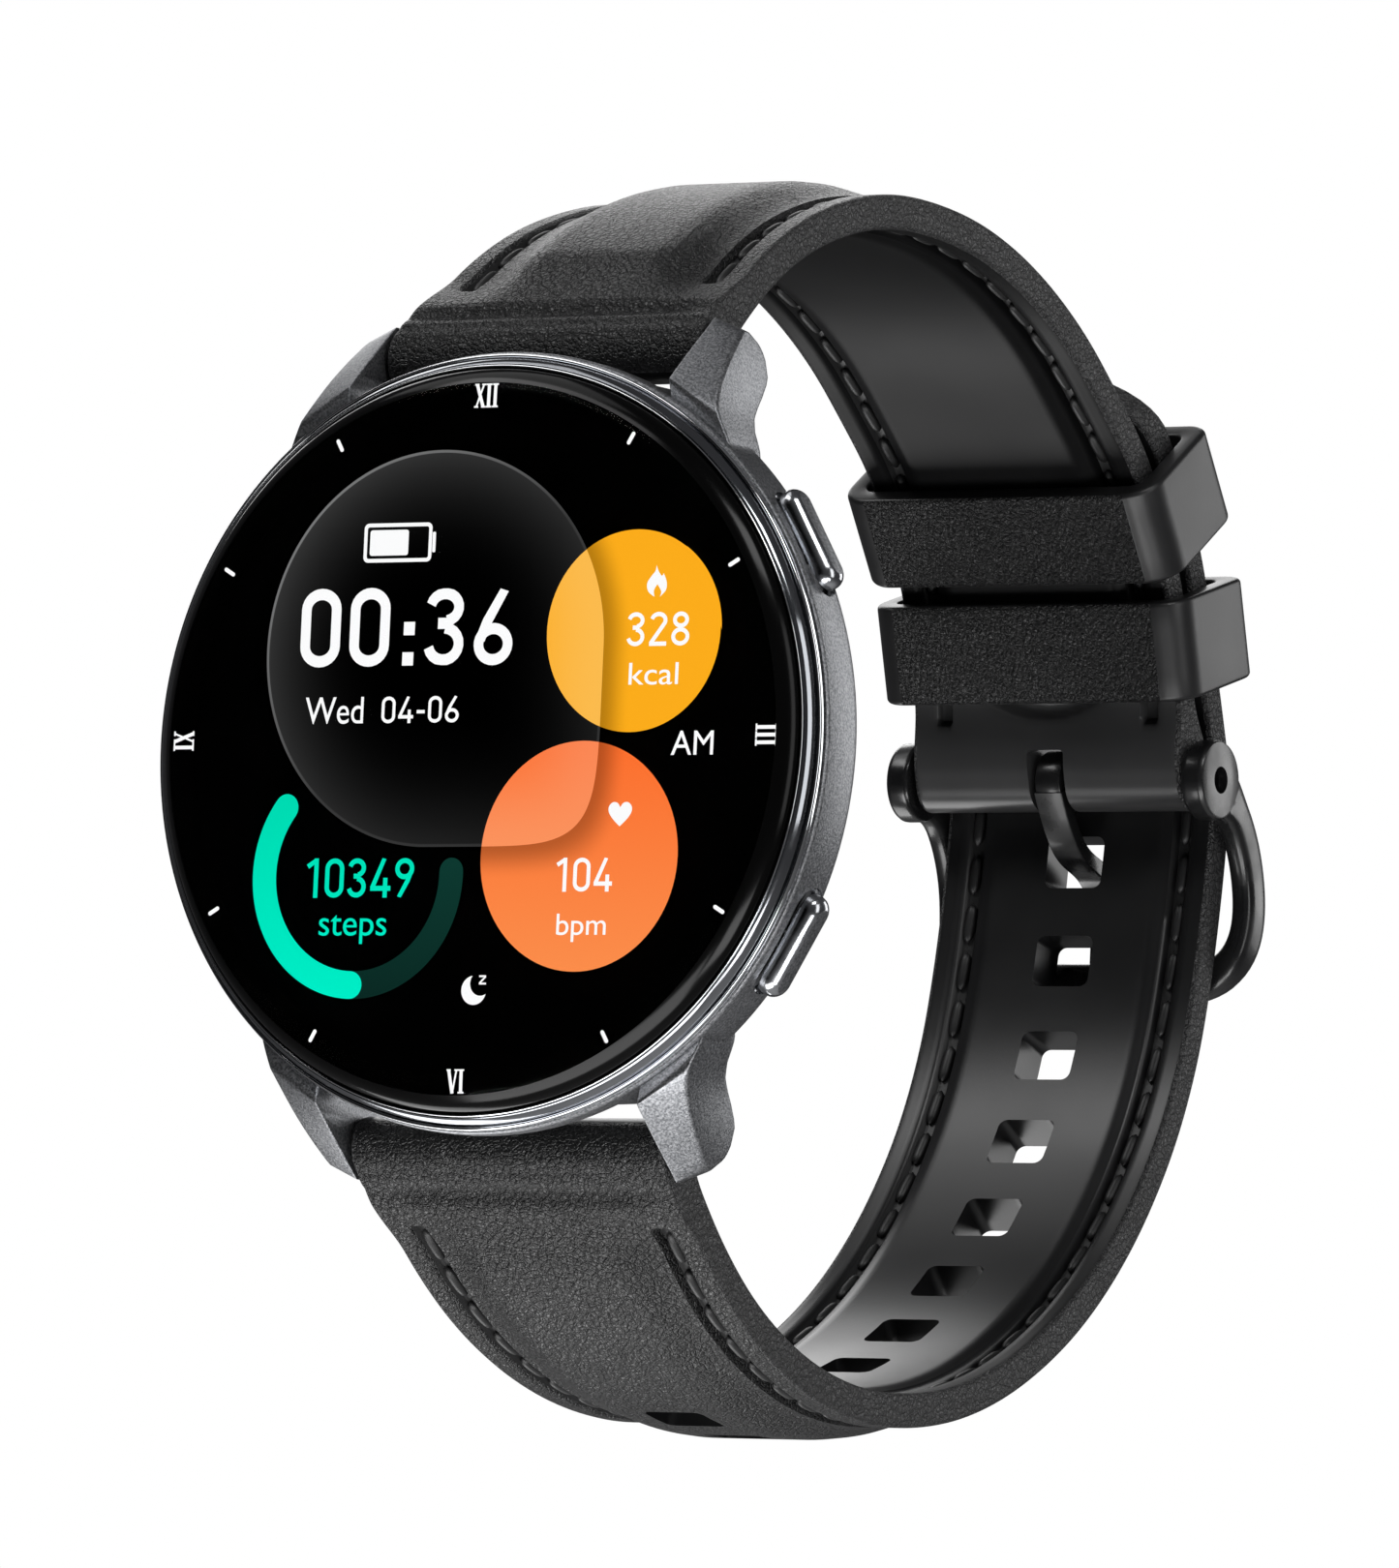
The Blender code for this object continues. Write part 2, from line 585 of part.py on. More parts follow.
for k in range(-HOLES_UP, HOLES_DOWN + 1):
    cut(long_strap, hole_cutter(long_path, tang_hole_s - k * HOLE_PITCH))
dress(long_strap, "long_strap", "strap")
hang_on(long_strap, (0, BAR_Y, -BAR_Z))

# ---- short strap ------------------------------------------------------------------
S = short_path.length
rings = []
for s, half in nose(STRAP_BARREL_R, -1.0, 0.0):
    rings.append((s, half, 0.0, 0.0, STRAP_W_LUG))
rings.append((1.7, 1.15, 0.0, 0.0, strap_width(1.7)))
for s in strap_stations(S - 1.5, 3.0, ()):
    pad = 0.78 * ramp(s, 2.6, 7.0) * (1.0 - 0.55 * ramp(s, 38.0, 50.0)) * (1.0 - ramp(s, S - 12.0, S - 6.0))
    inner = 0.30 * ramp(s, 3.0, 9.0) * (1.0 - ramp(s, S - 9.0, S - 4.5))
    half = STRAP_T / 2 + (PIN_BARREL_R - STRAP_T / 2) * ramp(s, S - 5.5, S - 1.0)
    rings.append((s, half, pad, inner, strap_width(s)))
for s, half in reversed(nose(PIN_BARREL_R, 1.0, S)):
    rings.append((s, half, 0.0, 0.0, STRAP_W_END))
short_strap = loft([strap_ring(short_path, *r) for r in rings])
cut(short_strap, cylinder(0.9, 30.0, (0, BAR_Y, BAR_Z), (1, 0, 0), 24))
cut(short_strap, cylinder(0.9, 30.0, (0, PIN_Y, PIN_Z), (1, 0, 0), 24))
place, run, out = short_path.at(S)
slot = box((2.6, 7.0, 6.0), (0, 0, 0), name="slot")
slot.data.transform(Matrix.Translation(place * MM) @
                    Matrix(((1, 0, 0, 0), (0, out.y, run.y, 0), (0, out.z, run.z, 0), (0, 0, 0, 1))) @
                    Matrix.Translation(Vector((0, 0, 0.65)) * MM))
tidy(slot)
cut(short_strap, slot)
dress(short_strap, "short_strap", "strap")
hang_on(short_strap, (0, BAR_Y, BAR_Z))

# ---- spring bars ---------------------------------------------------------------------
for strap, sz in (("short", 1), ("long", -1)):
    tube = cylinder(0.7, 20.2, (0, BAR_Y, BAR_Z * sz), (1, 0, 0), 16)
    cut(tube, cylinder(0.48, 24.0, (0, BAR_Y, BAR_Z * sz), (1, 0, 0), 12))
    dress(tube, strap + "_bar_tube", "steel")
    for side, sx in (("left", -1), ("right", 1)):
        end = cylinder(0.36, 3.5, (10.25 * sx, BAR_Y, BAR_Z * sz), (1, 0, 0), 12)
        dress(end, "%s_bar_pin_%s" % (strap, side), "steel")
        hang_on(end, (12.0 * sx, BAR_Y, BAR_Z * sz))

# ---- keepers ---------------------------------------------------------------------------
def ring_outline(x, n_low, n_high, c_low, c_high):
    pts = []
    for cx, cn, c, a0 in ((x, n_high, c_high, 0), (-x, n_high, c_high, 90),
                          (-x, n_low, c_low, 180), (x, n_low, c_low, 270)):
        mx = cx - math.copysign(c, cx)
        mn = cn - c if cn == n_high else cn + c
        for k in range(5):
            a = math.radians(a0 + 90 * k / 4)
            pts.append((mx + c * math.cos(a), mn + c * math.sin(a)))
    return pts


for name, deg in KEEPER_ANGLES.items():
    a = math.radians(deg)
    out = Vector((0.0, math.cos(a), math.sin(a)))
    up = Vector((0.0, -math.sin(a), math.cos(a)))
    base = Vector((0.0, STACK_Y, STACK_Z))

    def slab(outline, heights):
        return loft([[base + Vector((x, 0, 0)) + out * n + up * h for x, n in ring]
                     for h, ring in zip(heights, outline)])

    wide = KEEPER_GAP_W / 2 + 1.3
    lo, hi = KEEPER_IN - KEEPER_WALL, KEEPER_OUT + KEEPER_WALL
    full = ring_outline(wide, lo, hi, 2.6, 1.6)
    small = ring_outline(wide - 0.2, lo + 0.2, hi - 0.2, 2.4, 1.4)
    H = KEEPER_H / 2
    loop = slab([small, full, full, small], [-H, -H + 0.2, H - 0.2, H])
    hole = ring_outline(KEEPER_GAP_W / 2, KEEPER_IN, KEEPER_OUT, 0.6, 0.6)
    cut(loop, slab([hole, hole], [-6.0, 6.0]))
    dress(loop, name, "keeper")
    hang_on(loop, (0, STACK_Y, STACK_Z))

# ---- buckle ------------------------------------------------------------------------------
ARM_X = 10.62            # middle of each arm
BAR_HALF = 7.6           # straight half-length of the far bar
# side view of the frame from the pin, down the arm, to the far bar
ARM = [(PIN_Y, PIN_Z), (60.3, 3.3), (62.0, 1.6), (63.25, -0.7), (63.85, -3.0), (63.85, -5.0)]
FAR_BAR = (63.0, -8.1)


def frame_path():
    pts = [Vector((ARM_X, y, z)) for y, z in ARM]
    turn0, turn1 = pts[-1], Vector((BAR_HALF, *FAR_BAR))
    corner = Vector((ARM_X, *FAR_BAR))
    for k in range(1, 6):
        t = k / 6.0
        pts.append(turn0 * (1 - t) ** 2 + corner * 2 * t * (1 - t) + turn1 * t * t)
    pts.append(turn1)
    pts.append(Vector((BAR_HALF / 2, *FAR_BAR)))
    pts.append(Vector((0.0, *FAR_BAR)))
    mirror = [Vector((-p.x, p.y, p.z)) for p in reversed(pts[:-1])]
    return pts + mirror


def frame_rings(pts):
    rings = []
    last = len(pts) - 1
    for i, p in enumerate(pts):
        run = (pts[min(i + 1, last)] - pts[max(i - 1, 0)]).normalized()
        # thin across the frame's opening, deep along the wrist's outward direction
        deep = Vector((0.0, 1.0, 0.0))
        deep = (deep - run * deep.dot(run)).normalized()
        if abs(run.x) < 0.5 and i in (0, 1, last - 1, last):
            deep = Vector((0.0, -run.z, run.y)).normalized()
            if deep.y < 0:
                deep = -deep
        wide = run.cross(deep).normalized()
        along_bar = abs(run.x) ** 2
        edge = min(i, last - i)
        thick = 2.0 if edge == 0 else 1.75 if edge == 1 else 1.35 if edge == 2 else 1.15
        thick = thick * (1 - along_bar) + 0.92 * along_bar
        span = 0.76 * (1 - along_bar) + 1.3 * along_bar
        ring = []
        for k in range(12):
            a = 2 * math.pi * k / 12
            c, s = math.cos(a), math.sin(a)
            # a squarish oval
            c, s = math.copysign(abs(c) ** 0.7, c), math.copysign(abs(s) ** 0.7, s)
            ring.append(p + deep * (thick * c) + wide * (span * s))
        rings.append(ring)
    return rings


path = frame_path()
rings = frame_rings(path)
# keep neighbouring rings from twisting
for i in range(1, len(rings)):
    best = min(range(12), key=lambda k: sum((rings[i][(j + k) % 12] - rings[i - 1][j]).length
                                            for j in range(12)))
    flip = list(reversed(rings[i]))
    best_f = min(range(12), key=lambda k: sum((flip[(j + k) % 12] - rings[i - 1][j]).length
                                              for j in range(12)))
    a = [rings[i][(j + best) % 12] for j in range(12)]
    b = [flip[(j + best_f) % 12] for j in range(12)]
    da = sum((a[j] - rings[i - 1][j]).length for j in range(12))
    db = sum((b[j] - rings[i - 1][j]).length for j in range(12))
    rings[i] = a if da <= db else b
buckle = loft(rings)
for sx in (1, -1):
    boss = cylinder(2.5, 1.55, (ARM_X * sx, PIN_Y, PIN_Z), (1, 0, 0), 32)
    join(buckle, boss)
cut(buckle, cylinder(0.85, 30.0, (0, PIN_Y, PIN_Z), (1, 0, 0), 24))
dress(buckle, "buckle_frame", "buckle")
hang_on(buckle, (0, PIN_Y, PIN_Z))

pin = cylinder(PIN_R, 21.4, (0, PIN_Y, PIN_Z), (1, 0, 0), 20)
dress(pin, "buckle_pin", "steel")
hang_on(pin, (0, PIN_Y, PIN_Z))

TANG_W, TANG_T = 1.8, 1.0
TANG = [(56.75, 3.6), (57.4, 2.5), (58.6, 0.85), (59.9, -0.4), (61.0, -0.65), (62.4, -0.95),
        (63.6, -1.75), (64.45, -3.2), (64.75, -5.0), (64.72, -7.0), (64.66, -8.6), (64.55, -9.5)]
tang_pts, tang_len = smooth(TANG, 0.6)
rings = []
for i, p in enumerate(tang_pts):
    run = (tang_pts[min(i + 1, len(tang_pts) - 1)] - tang_pts[max(i - 1, 0)]).normalized()
    out = Vector((0.0, -run.z, run.y))
    f = i / (len(tang_pts) - 1)
    w = TANG_W / 2 * (1.0 if f < 0.93 else 1.0 - 3.0 * (f - 0.93))
    t = TANG_T / 2 * (1.0 if f < 0.93 else 1.0 - 4.0 * (f - 0.93))
    c = 0.18
    rings.append([p + Vector((x, 0, 0)) + out * n for x, n in (
        (w, t - c), (w - c, t), (-w + c, t), (-w, t - c), (-w, -t + c), (-w + c, -t), (w - c, -t), (w, -t + c))])
tang = loft(rings)
join(tang, cylinder(1.9, TANG_W, (0, PIN_Y, PIN_Z), (1, 0, 0), 28))
cut(tang, cylinder(0.85, 6.0, (0, PIN_Y, PIN_Z), (1, 0, 0), 24))
dress(tang, "buckle_tang", "buckle")
hang_on(tang, (0, PIN_Y, PIN_Z))

# ---- empties on the joint axes -------------------------------------------------------------
def mark(name, where):
    empty = bpy.data.objects.new(name, None)
    empty.location = Vector(where) * MM
    parts.objects.link(empty)
    return empty


def ride(empty, names):
    bpy.context.view_layer.update()
    for n in names:
        obj = bpy.data.objects[n]
        obj.parent = empty
        obj.matrix_parent_inverse = empty.matrix_world.inverted()


short_hinge = mark("axis_short_strap", (0, BAR_Y, BAR_Z))
long_hinge = mark("axis_long_strap", (0, BAR_Y, -BAR_Z))
ride(short_hinge, ["short_strap", "short_bar_tube", "short_bar_pin_left", "short_bar_pin_right",
                   "keeper_upper", "keeper_lower", "buckle_frame", "buckle_pin", "buckle_tang"])
ride(long_hinge, ["long_strap", "long_bar_tube", "long_bar_pin_left", "long_bar_pin_right"])
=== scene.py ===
"""Looks of a round smartwatch on a padded strap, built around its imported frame.

Lengths are millimetres until they go through MM. +X is 3 o'clock, +Z is 12
o'clock, the display faces -Y, and the origin is on the rear sensor window.
"""

import math

import bmesh
import bpy
from mathutils import Matrix, Vector
from mathutils.geometry import tessellate_polygon


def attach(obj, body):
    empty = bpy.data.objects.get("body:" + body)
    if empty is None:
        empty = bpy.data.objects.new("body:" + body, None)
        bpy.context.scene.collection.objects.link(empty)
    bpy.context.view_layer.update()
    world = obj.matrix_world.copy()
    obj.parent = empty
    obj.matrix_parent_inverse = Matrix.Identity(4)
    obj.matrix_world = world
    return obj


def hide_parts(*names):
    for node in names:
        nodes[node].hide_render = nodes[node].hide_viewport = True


MM = 0.001
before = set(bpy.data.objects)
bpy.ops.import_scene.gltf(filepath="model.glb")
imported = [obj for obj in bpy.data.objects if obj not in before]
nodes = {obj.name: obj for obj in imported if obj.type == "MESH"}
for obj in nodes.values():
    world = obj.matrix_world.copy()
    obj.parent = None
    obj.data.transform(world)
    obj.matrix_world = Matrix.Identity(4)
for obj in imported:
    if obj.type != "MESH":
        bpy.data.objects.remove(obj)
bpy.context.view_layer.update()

Y0 = -11.0                 # plane of the dial's marks
BAR_Y, BAR_Z, BARREL_R = Y0 + 7.8, 23.4, 1.9
PIN_Y, PIN_Z, PIN_BARREL_R = Y0 + 69.1, 4.25, 1.92
STACK_Y, STACK_Z, SHORT_R, LONG_R = Y0 + 41.1, 4.7, 26.85, 29.9
STRAP_HALF = 1.05
BUTTON_Y, BUTTON_ANGLE = Y0 + 4.4, 30.5

# =============================================================== camera, light
def aim_camera():
    az, el, roll = (math.radians(a) for a in (31.54, -5.01, 2.54))
    back = Vector((math.sin(az) * math.cos(el), -math.cos(az) * math.cos(el), math.sin(el)))
    right = (-back).cross(Vector((0, 0, 1))).normalized()
    up = right.cross(-back)
    r2 = math.cos(roll) * right + math.sin(roll) * up
    u2 = -math.sin(roll) * right + math.cos(roll) * up
    data = bpy.data.cameras.new("camera")
    data.sensor_width = 36.0
    data.lens = 291.87
    data.clip_start, data.clip_end = 0.01, 20.0
    cam = bpy.data.objects.new("camera", data)
    bpy.context.scene.collection.objects.link(cam)
    m = Matrix((r2, u2, back)).transposed().to_4x4()
    m.translation = Vector((395.9, -630.3, -66.5)) * MM
    cam.matrix_world = m
    bpy.context.scene.camera = cam
    return back


to_camera = aim_camera()
bpy.context.scene.view_settings.view_transform = "Standard"
bpy.context.scene.view_settings.look = "None"


def studio_world():
    """A white room, with a dark flag where the flat glass would mirror it."""
    world = bpy.data.worlds.new("studio")
    bpy.context.scene.world = world
    world.use_nodes = True
    t = world.node_tree
    t.nodes.clear()
    out = t.nodes.new("ShaderNodeOutputWorld")
    shown = t.nodes.new("ShaderNodeBackground")
    shown.inputs["Color"].default_value = (1, 1, 1, 1)
    room = t.nodes.new("ShaderNodeBackground")
    coord = t.nodes.new("ShaderNodeTexCoord")
    dot = t.nodes.new("ShaderNodeVectorMath")
    dot.operation = "DOT_PRODUCT"
    dot.inputs[1].default_value = Vector((-0.50, -0.86, 0.06)).normalized()
    ramp = t.nodes.new("ShaderNodeValToRGB")
    e = ramp.color_ramp.elements
    e[0].position, e[0].color = 0.62, (0.075, 0.075, 0.078, 1)
    e[1].position, e[1].color = 0.90, (0.0, 0.0, 0.0, 1)
    sep = t.nodes.new("ShaderNodeSeparateXYZ")
    height = t.nodes.new("ShaderNodeMapRange")
    height.inputs["From Min"].default_value = -1.0
    height.inputs["From Max"].default_value = 1.0
    height.inputs["To Min"].default_value = 0.55
    height.inputs["To Max"].default_value = 1.1
    mul = t.nodes.new("ShaderNodeVectorMath")
    mul.operation = "SCALE"
    t.links.new(coord.outputs["Generated"], dot.inputs[0])
    t.links.new(coord.outputs["Generated"], sep.inputs[0])
    t.links.new(sep.outputs["Z"], height.inputs["Value"])
    t.links.new(dot.outputs["Value"], ramp.inputs["Fac"])
    t.links.new(ramp.outputs["Color"], mul.inputs[0])
    t.links.new(height.outputs["Result"], mul.inputs["Scale"])
    t.links.new(mul.outputs["Vector"], room.inputs["Color"])
    path = t.nodes.new("ShaderNodeLightPath")
    mix = t.nodes.new("ShaderNodeMixShader")
    t.links.new(path.outputs["Is Camera Ray"], mix.inputs[0])
    t.links.new(room.outputs[0], mix.inputs[1])
    t.links.new(shown.outputs[0], mix.inputs[2])
    t.links.new(mix.outputs[0], out.inputs["Surface"])


def softbox(name, azimuth, elevation, distance, size, power, aim=(0, 0.02, 0), shape="RECTANGLE"):
    """Azimuth 0 is in front of the dial, 90 at 3 o'clock."""
    az, el = math.radians(azimuth), math.radians(elevation)
    where = Vector((math.sin(az) * math.cos(el), -math.cos(az) * math.cos(el), math.sin(el)))
    data = bpy.data.lights.new(name, "AREA")
    data.shape = shape
    data.size, data.size_y = size
    data.energy = power
    lamp = bpy.data.objects.new(name, data)
    bpy.context.scene.collection.objects.link(lamp)
    lamp.location = Vector(aim) + where * distance
    lamp.rotation_euler = (-where).to_track_quat("-Z", "Y").to_euler()
    return lamp


studio_world()
softbox("overhead", -62, 62, 0.36, (0.24, 0.20), 0.17)
softbox("right_front", 78, 8, 0.50, (0.16, 0.42), 0.48)
softbox("right_high", 52, 46, 0.45, (0.16, 0.12), 0.40)
softbox("right_low", 50, -38, 0.45, (0.18, 0.12), 0.45)
softbox("left_back", -141, 30, 0.55, (0.34, 0.26), 0.72)
softbox("low_left", -115, -53, 0.40, (0.20, 0.16), 0.40)
softbox("low_front", -4, -52, 0.38, (0.36, 0.18), 1.15)
softbox("front_top", -34, 50, 0.50, (0.34, 0.16), 0.6)
softbox("behind", 150, 12, 0.55, (0.22, 0.40), 0.7)


# =================================================================== materials
class Look:
    """A Principled material, with short ways to add nodes in object space."""

    def __init__(self, name, colour, rough, metal=0.0, **sockets):
        self.mat = bpy.data.materials.new(name)
        self.mat.use_nodes = True
        self.t = self.mat.node_tree
        self.p = self.t.nodes["Principled BSDF"]
        self.p.inputs["Base Color"].default_value = (*colour, 1.0)
        self.p.inputs["Roughness"].default_value = rough
        self.p.inputs["Metallic"].default_value = metal
        for k, v in sockets.items():
            self.p.inputs[k.replace("_", " ")].default_value = v
        self.coord = self.t.nodes.new("ShaderNodeTexCoord").outputs["Object"]
        self.mat.diffuse_color = (*colour, 1.0)

    def link(self, a, b):
        self.t.links.new(a, b)

    def value(self, kind, op, *args):
        n = self.t.nodes.new(kind)
        n.operation = op
        for i, a in enumerate(args):
            if hasattr(a, "is_output"):
                self.link(a, n.inputs[i])
            elif a is not None:
                n.inputs[i].default_value = a
        return n

    def math(self, op, *args):
        return self.value("ShaderNodeMath", op, *args).outputs[0]

    def vec(self, op, *args):
        n = self.value("ShaderNodeVectorMath", op, *args)
        return n.outputs["Value"] if op in ("LENGTH", "DOT_PRODUCT", "DISTANCE") else n.outputs[0]

    def noise(self, scale, detail=2.0, rough=0.5, at=None):
        n = self.t.nodes.new("ShaderNodeTexNoise")
        n.inputs["Scale"].default_value = scale
        n.inputs["Detail"].default_value = detail
        n.inputs["Roughness"].default_value = rough
        self.link(at or self.coord, n.inputs["Vector"])
        return n

    def cells(self, scale, feature="DISTANCE_TO_EDGE", at=None):
        n = self.t.nodes.new("ShaderNodeTexVoronoi")
        n.feature = feature
        n.inputs["Scale"].default_value = scale
        self.link(at or self.coord, n.inputs["Vector"])
        return n.outputs["Distance"]

    def ramp(self, fac, *stops):
        n = self.t.nodes.new("ShaderNodeValToRGB")
        e = n.color_ramp.elements
        while len(e) < len(stops):
            e.new(0.5)
        for el, (pos, col) in zip(e, stops):
            el.position = pos
            el.color = (*col, 1.0) if isinstance(col, tuple) else (col, col, col, 1.0)
        self.link(fac, n.inputs["Fac"])
        return n.outputs["Color"]

    def warped(self, scale, amount):
        n = self.noise(scale, 2.0)
        off = self.vec("SUBTRACT", n.outputs["Color"], (0.5, 0.5, 0.5))
        s = self.value("ShaderNodeVectorMath", "SCALE", off)
        s.inputs["Scale"].default_value = amount
        return self.vec("ADD", self.coord, s.outputs[0])

    def bump(self, height, strength, distance, under=None):
        n = self.t.nodes.new("ShaderNodeBump")
        n.inputs["Strength"].default_value = strength
        n.inputs["Distance"].default_value = distance
        self.link(height, n.inputs["Height"])
        if under is not None:
            self.link(under, n.inputs["Normal"])
        self.link(n.outputs[0], self.p.inputs["Normal"])
        return n.outputs[0]

    def feed(self, out, socket):
        self.link(out, self.p.inputs[socket])


def blasted(name, dark, light, rough=0.36):
    m = Look(name, light, rough, 1.0)
    fine = m.noise(7200, 2.0, 0.6)
    wide = m.noise(160, 2.0)
    m.feed(m.ramp(fine.outputs["Fac"], (0.36, dark), (0.66, light)), "Base Color")
    both = m.math("ADD", m.math("MULTIPLY", fine.outputs["Fac"], 0.22),
                  m.math("MULTIPLY", wide.outputs["Fac"], 0.08))
    m.feed(m.math("ADD", both, rough - 0.15), "Roughness")
    m.bump(fine.outputs["Fac"], 0.55, 0.00003)
    return m.mat


def polished(name, colour, rough=0.07, metal=1.0, **sockets):
    m = Look(name, colour, rough, metal, **sockets)
    smear = m.noise(420, 3.0)
    m.feed(m.ramp(smear.outputs["Fac"], (0.35, rough * 0.7), (0.7, rough * 1.5)), "Roughness")
    tint = m.noise(90, 2.0)
    m.feed(m.ramp(tint.outputs["Fac"], (0.3, tuple(c * 0.9 for c in colour)), (0.7, colour)),
           "Base Color")
    m.bump(m.noise(900, 2.0).outputs["Fac"], 0.05, 0.00001)
    return m.mat


def leather(name, dark, light, rough=0.5, size=1.0, depth=0.00006):
    """Pebbled grain with fine creases between the pebbles."""
    m = Look(name, light, rough)
    at = m.warped(1300 / size, 0.00013 * size)
    big = m.cells(1350 / size, at=at)
    small = m.cells(2900 / size, at=at)
    pores = m.noise(5200 / size, 2.0, 0.6).outputs["Fac"]
    wide = m.noise(120, 3.0).outputs["Fac"]
    pebble = m.ramp(big, (0.0, 0.0), (0.12, 0.72), (0.40, 1.0))
    chip = m.ramp(small, (0.0, 0.0), (0.2, 1.0))
    height = m.math("ADD", m.math("MULTIPLY", pebble, 0.62), m.math("MULTIPLY", chip, 0.26))
    height = m.math("ADD", height, m.math("MULTIPLY", pores, 0.12))
    shade = m.math("ADD", m.math("MULTIPLY", height, 0.75), m.math("MULTIPLY", wide, 0.35))
    m.feed(m.ramp(shade, (0.35, dark), (0.88, light)), "Base Color")
    gloss = m.math("ADD", rough + 0.12, m.math("MULTIPLY", height, -0.2))
    m.feed(gloss, "Roughness")
    m.bump(height, 0.75, depth)
    return m.mat


def satin(name, dark, light, rough=0.4, grain=0.25):
    m = Look(name, light, rough)
    fine = m.noise(3600, 2.0, 0.6).outputs["Fac"]
    wide = m.noise(140, 3.0).outputs["Fac"]
    m.feed(m.ramp(wide, (0.3, dark), (0.75, light)), "Base Color")
    m.feed(m.math("ADD", rough - 0.06, m.math("MULTIPLY", wide, 0.12)), "Roughness")
    m.bump(fine, grain, 0.000012)
    return m.mat


BLASTED = blasted("blasted_gunmetal", (0.16, 0.165, 0.175), (0.40, 0.405, 0.42), 0.42)
POLISHED = polished("polished_gunmetal", (0.46, 0.47, 0.49), 0.16)
BEZEL = polished("polished_dark_chrome", (0.30, 0.31, 0.33), 0.10)
LIP = polished("polished_bright_lip", (0.80, 0.81, 0.83), 0.08)
STEEL = polished("turned_steel", (0.52, 0.52, 0.53), 0.2)
GRAIN = leather("strap_grain", (0.0020, 0.0020, 0.0022), (0.0110, 0.0110, 0.0114), 0.38, 0.6,
                0.00017)
SIDE = leather("strap_edge_grain", (0.009, 0.009, 0.0094), (0.042, 0.042, 0.043), 0.46, 0.6,
               0.00018)
KEEPER_GRAIN = leather("keeper_grain", (0.0025, 0.0025, 0.0027), (0.009, 0.009, 0.0095), 0.36, 0.5,
                       0.00050)
SATIN = satin("strap_lining", (0.0055, 0.0055, 0.006), (0.010, 0.010, 0.0104), 0.33)
# the short strap's lining is a darker, less shiny copy of the same lining: painted shade inside the loop
SHADED_LINING = satin("short_strap_lining_painted_shade", (0.0040, 0.0040, 0.0043), (0.0075, 0.0075, 0.0078), 0.36)
SHADED_LINING.node_tree.nodes["Principled BSDF"].inputs["Specular IOR Level"].default_value = 0.09
# a smoother copy of the lining whose colour is painted several times lighter: painted sheen on the strap's end
SMOOTH_PAINTED_SHEEN = satin("strap_end_smooth_painted_sheen", (0.030, 0.030, 0.0306), (0.042, 0.042, 0.0428), 0.30, 0.2)
KEEPER = satin("keeper_side", (0.009, 0.009, 0.0095), (0.015, 0.015, 0.0155), 0.36)
THREAD = satin("stitch_thread", (0.005, 0.005, 0.0052), (0.014, 0.014, 0.0145), 0.45, 0.8)
GLOSS = polished("gloss_black_coat", (0.008, 0.008, 0.0085), 0.28, 0.0,
                 Coat_Weight=0.25, Coat_Roughness=0.12, IOR=1.5)
RUBBER = satin("seal_rubber", (0.010, 0.010, 0.010), (0.02, 0.02, 0.02), 0.55)


# ==================================================================== geometry
def add(name, verts, faces, mats, index=None, sharp=34.0):
    """A mesh object from millimetre points, with its faces turned outwards."""
    mesh = bpy.data.meshes.new(name)
    mesh.from_pydata([tuple(c * MM for c in v) for v in verts], [], faces)
    for m in mats:
        mesh.materials.append(m)
    if index is not None:
        mesh.polygons.foreach_set("material_index", index)
    obj = bpy.data.objects.new(name, mesh)
    bpy.context.scene.collection.objects.link(obj)
    bm = bmesh.new()
    bm.from_mesh(mesh)
    bmesh.ops.remove_doubles(bm, verts=bm.verts, dist=1e-7)
    bmesh.ops.recalc_face_normals(bm, faces=bm.faces)
    bm.to_mesh(mesh)
    bm.free()
    shade(obj, sharp)
    return obj


def shade(obj, sharp=34.0):
    obj.data.shade_smooth()
    obj.data.set_sharp_from_angle(angle=math.radians(sharp))
    return obj


def lathe(name, profile, mats, seg=192, closed=False, index=None, sharp=34.0, centre=(0, 0, 0)):
    """Turn a (radius, y) outline about the Y axis."""
    verts, rows = [], []
    for r, y in profile:
        if r < 1e-6:
            rows.append([len(verts)])
            verts.append((centre[0], centre[1] + y, centre[2]))
        else:
            rows.append(list(range(len(verts), len(verts) + seg)))
            for k in range(seg):
                a = 2 * math.pi * k / seg
                verts.append((centre[0] + r * math.cos(a), centre[1] + y, centre[2] + r * math.sin(a)))
    faces, idx = [], []
    pairs = list(zip(rows[:-1], rows[1:]))
    if closed:
        pairs.append((rows[-1], rows[0]))
    for n, (a, b) in enumerate(pairs):
        for k in range(seg):
            j = (k + 1) % seg
            if len(a) == 1 and len(b) == 1:
                continue
            if len(a) == 1:
                faces.append((a[0], b[k], b[j]))
            elif len(b) == 1:
                faces.append((a[k], b[0], a[j]))
            else:
                faces.append((a[k], b[k], b[j], a[j]))
            idx.append(index[n] if index else 0)
    return add(name, verts, faces, mats, idx, sharp)


def skin(name, rings, mats, ring_index=None, cap=0, sharp=34.0, closed=False):
    """A closed skin over rings of equal point count."""
    n = len(rings[0])
    verts = [tuple(p) for ring in rings for p in ring]
    faces, idx = [], []
    spans = len(rings) - (0 if closed else 1)
    for i in range(spans):
        a, b = i * n, ((i + 1) % len(rings)) * n
        for k in range(n):
            j = (k + 1) % n
            faces.append((a + k, a + j, b + j, b + k))
            idx.append(ring_index(i, k) if ring_index else 0)
    if not closed:
        faces.append(tuple(range(n)))
        faces.append(tuple(range((len(rings) - 1) * n, len(rings) * n)))
        idx += [cap, cap]
    return add(name, verts, faces, mats, idx, sharp)


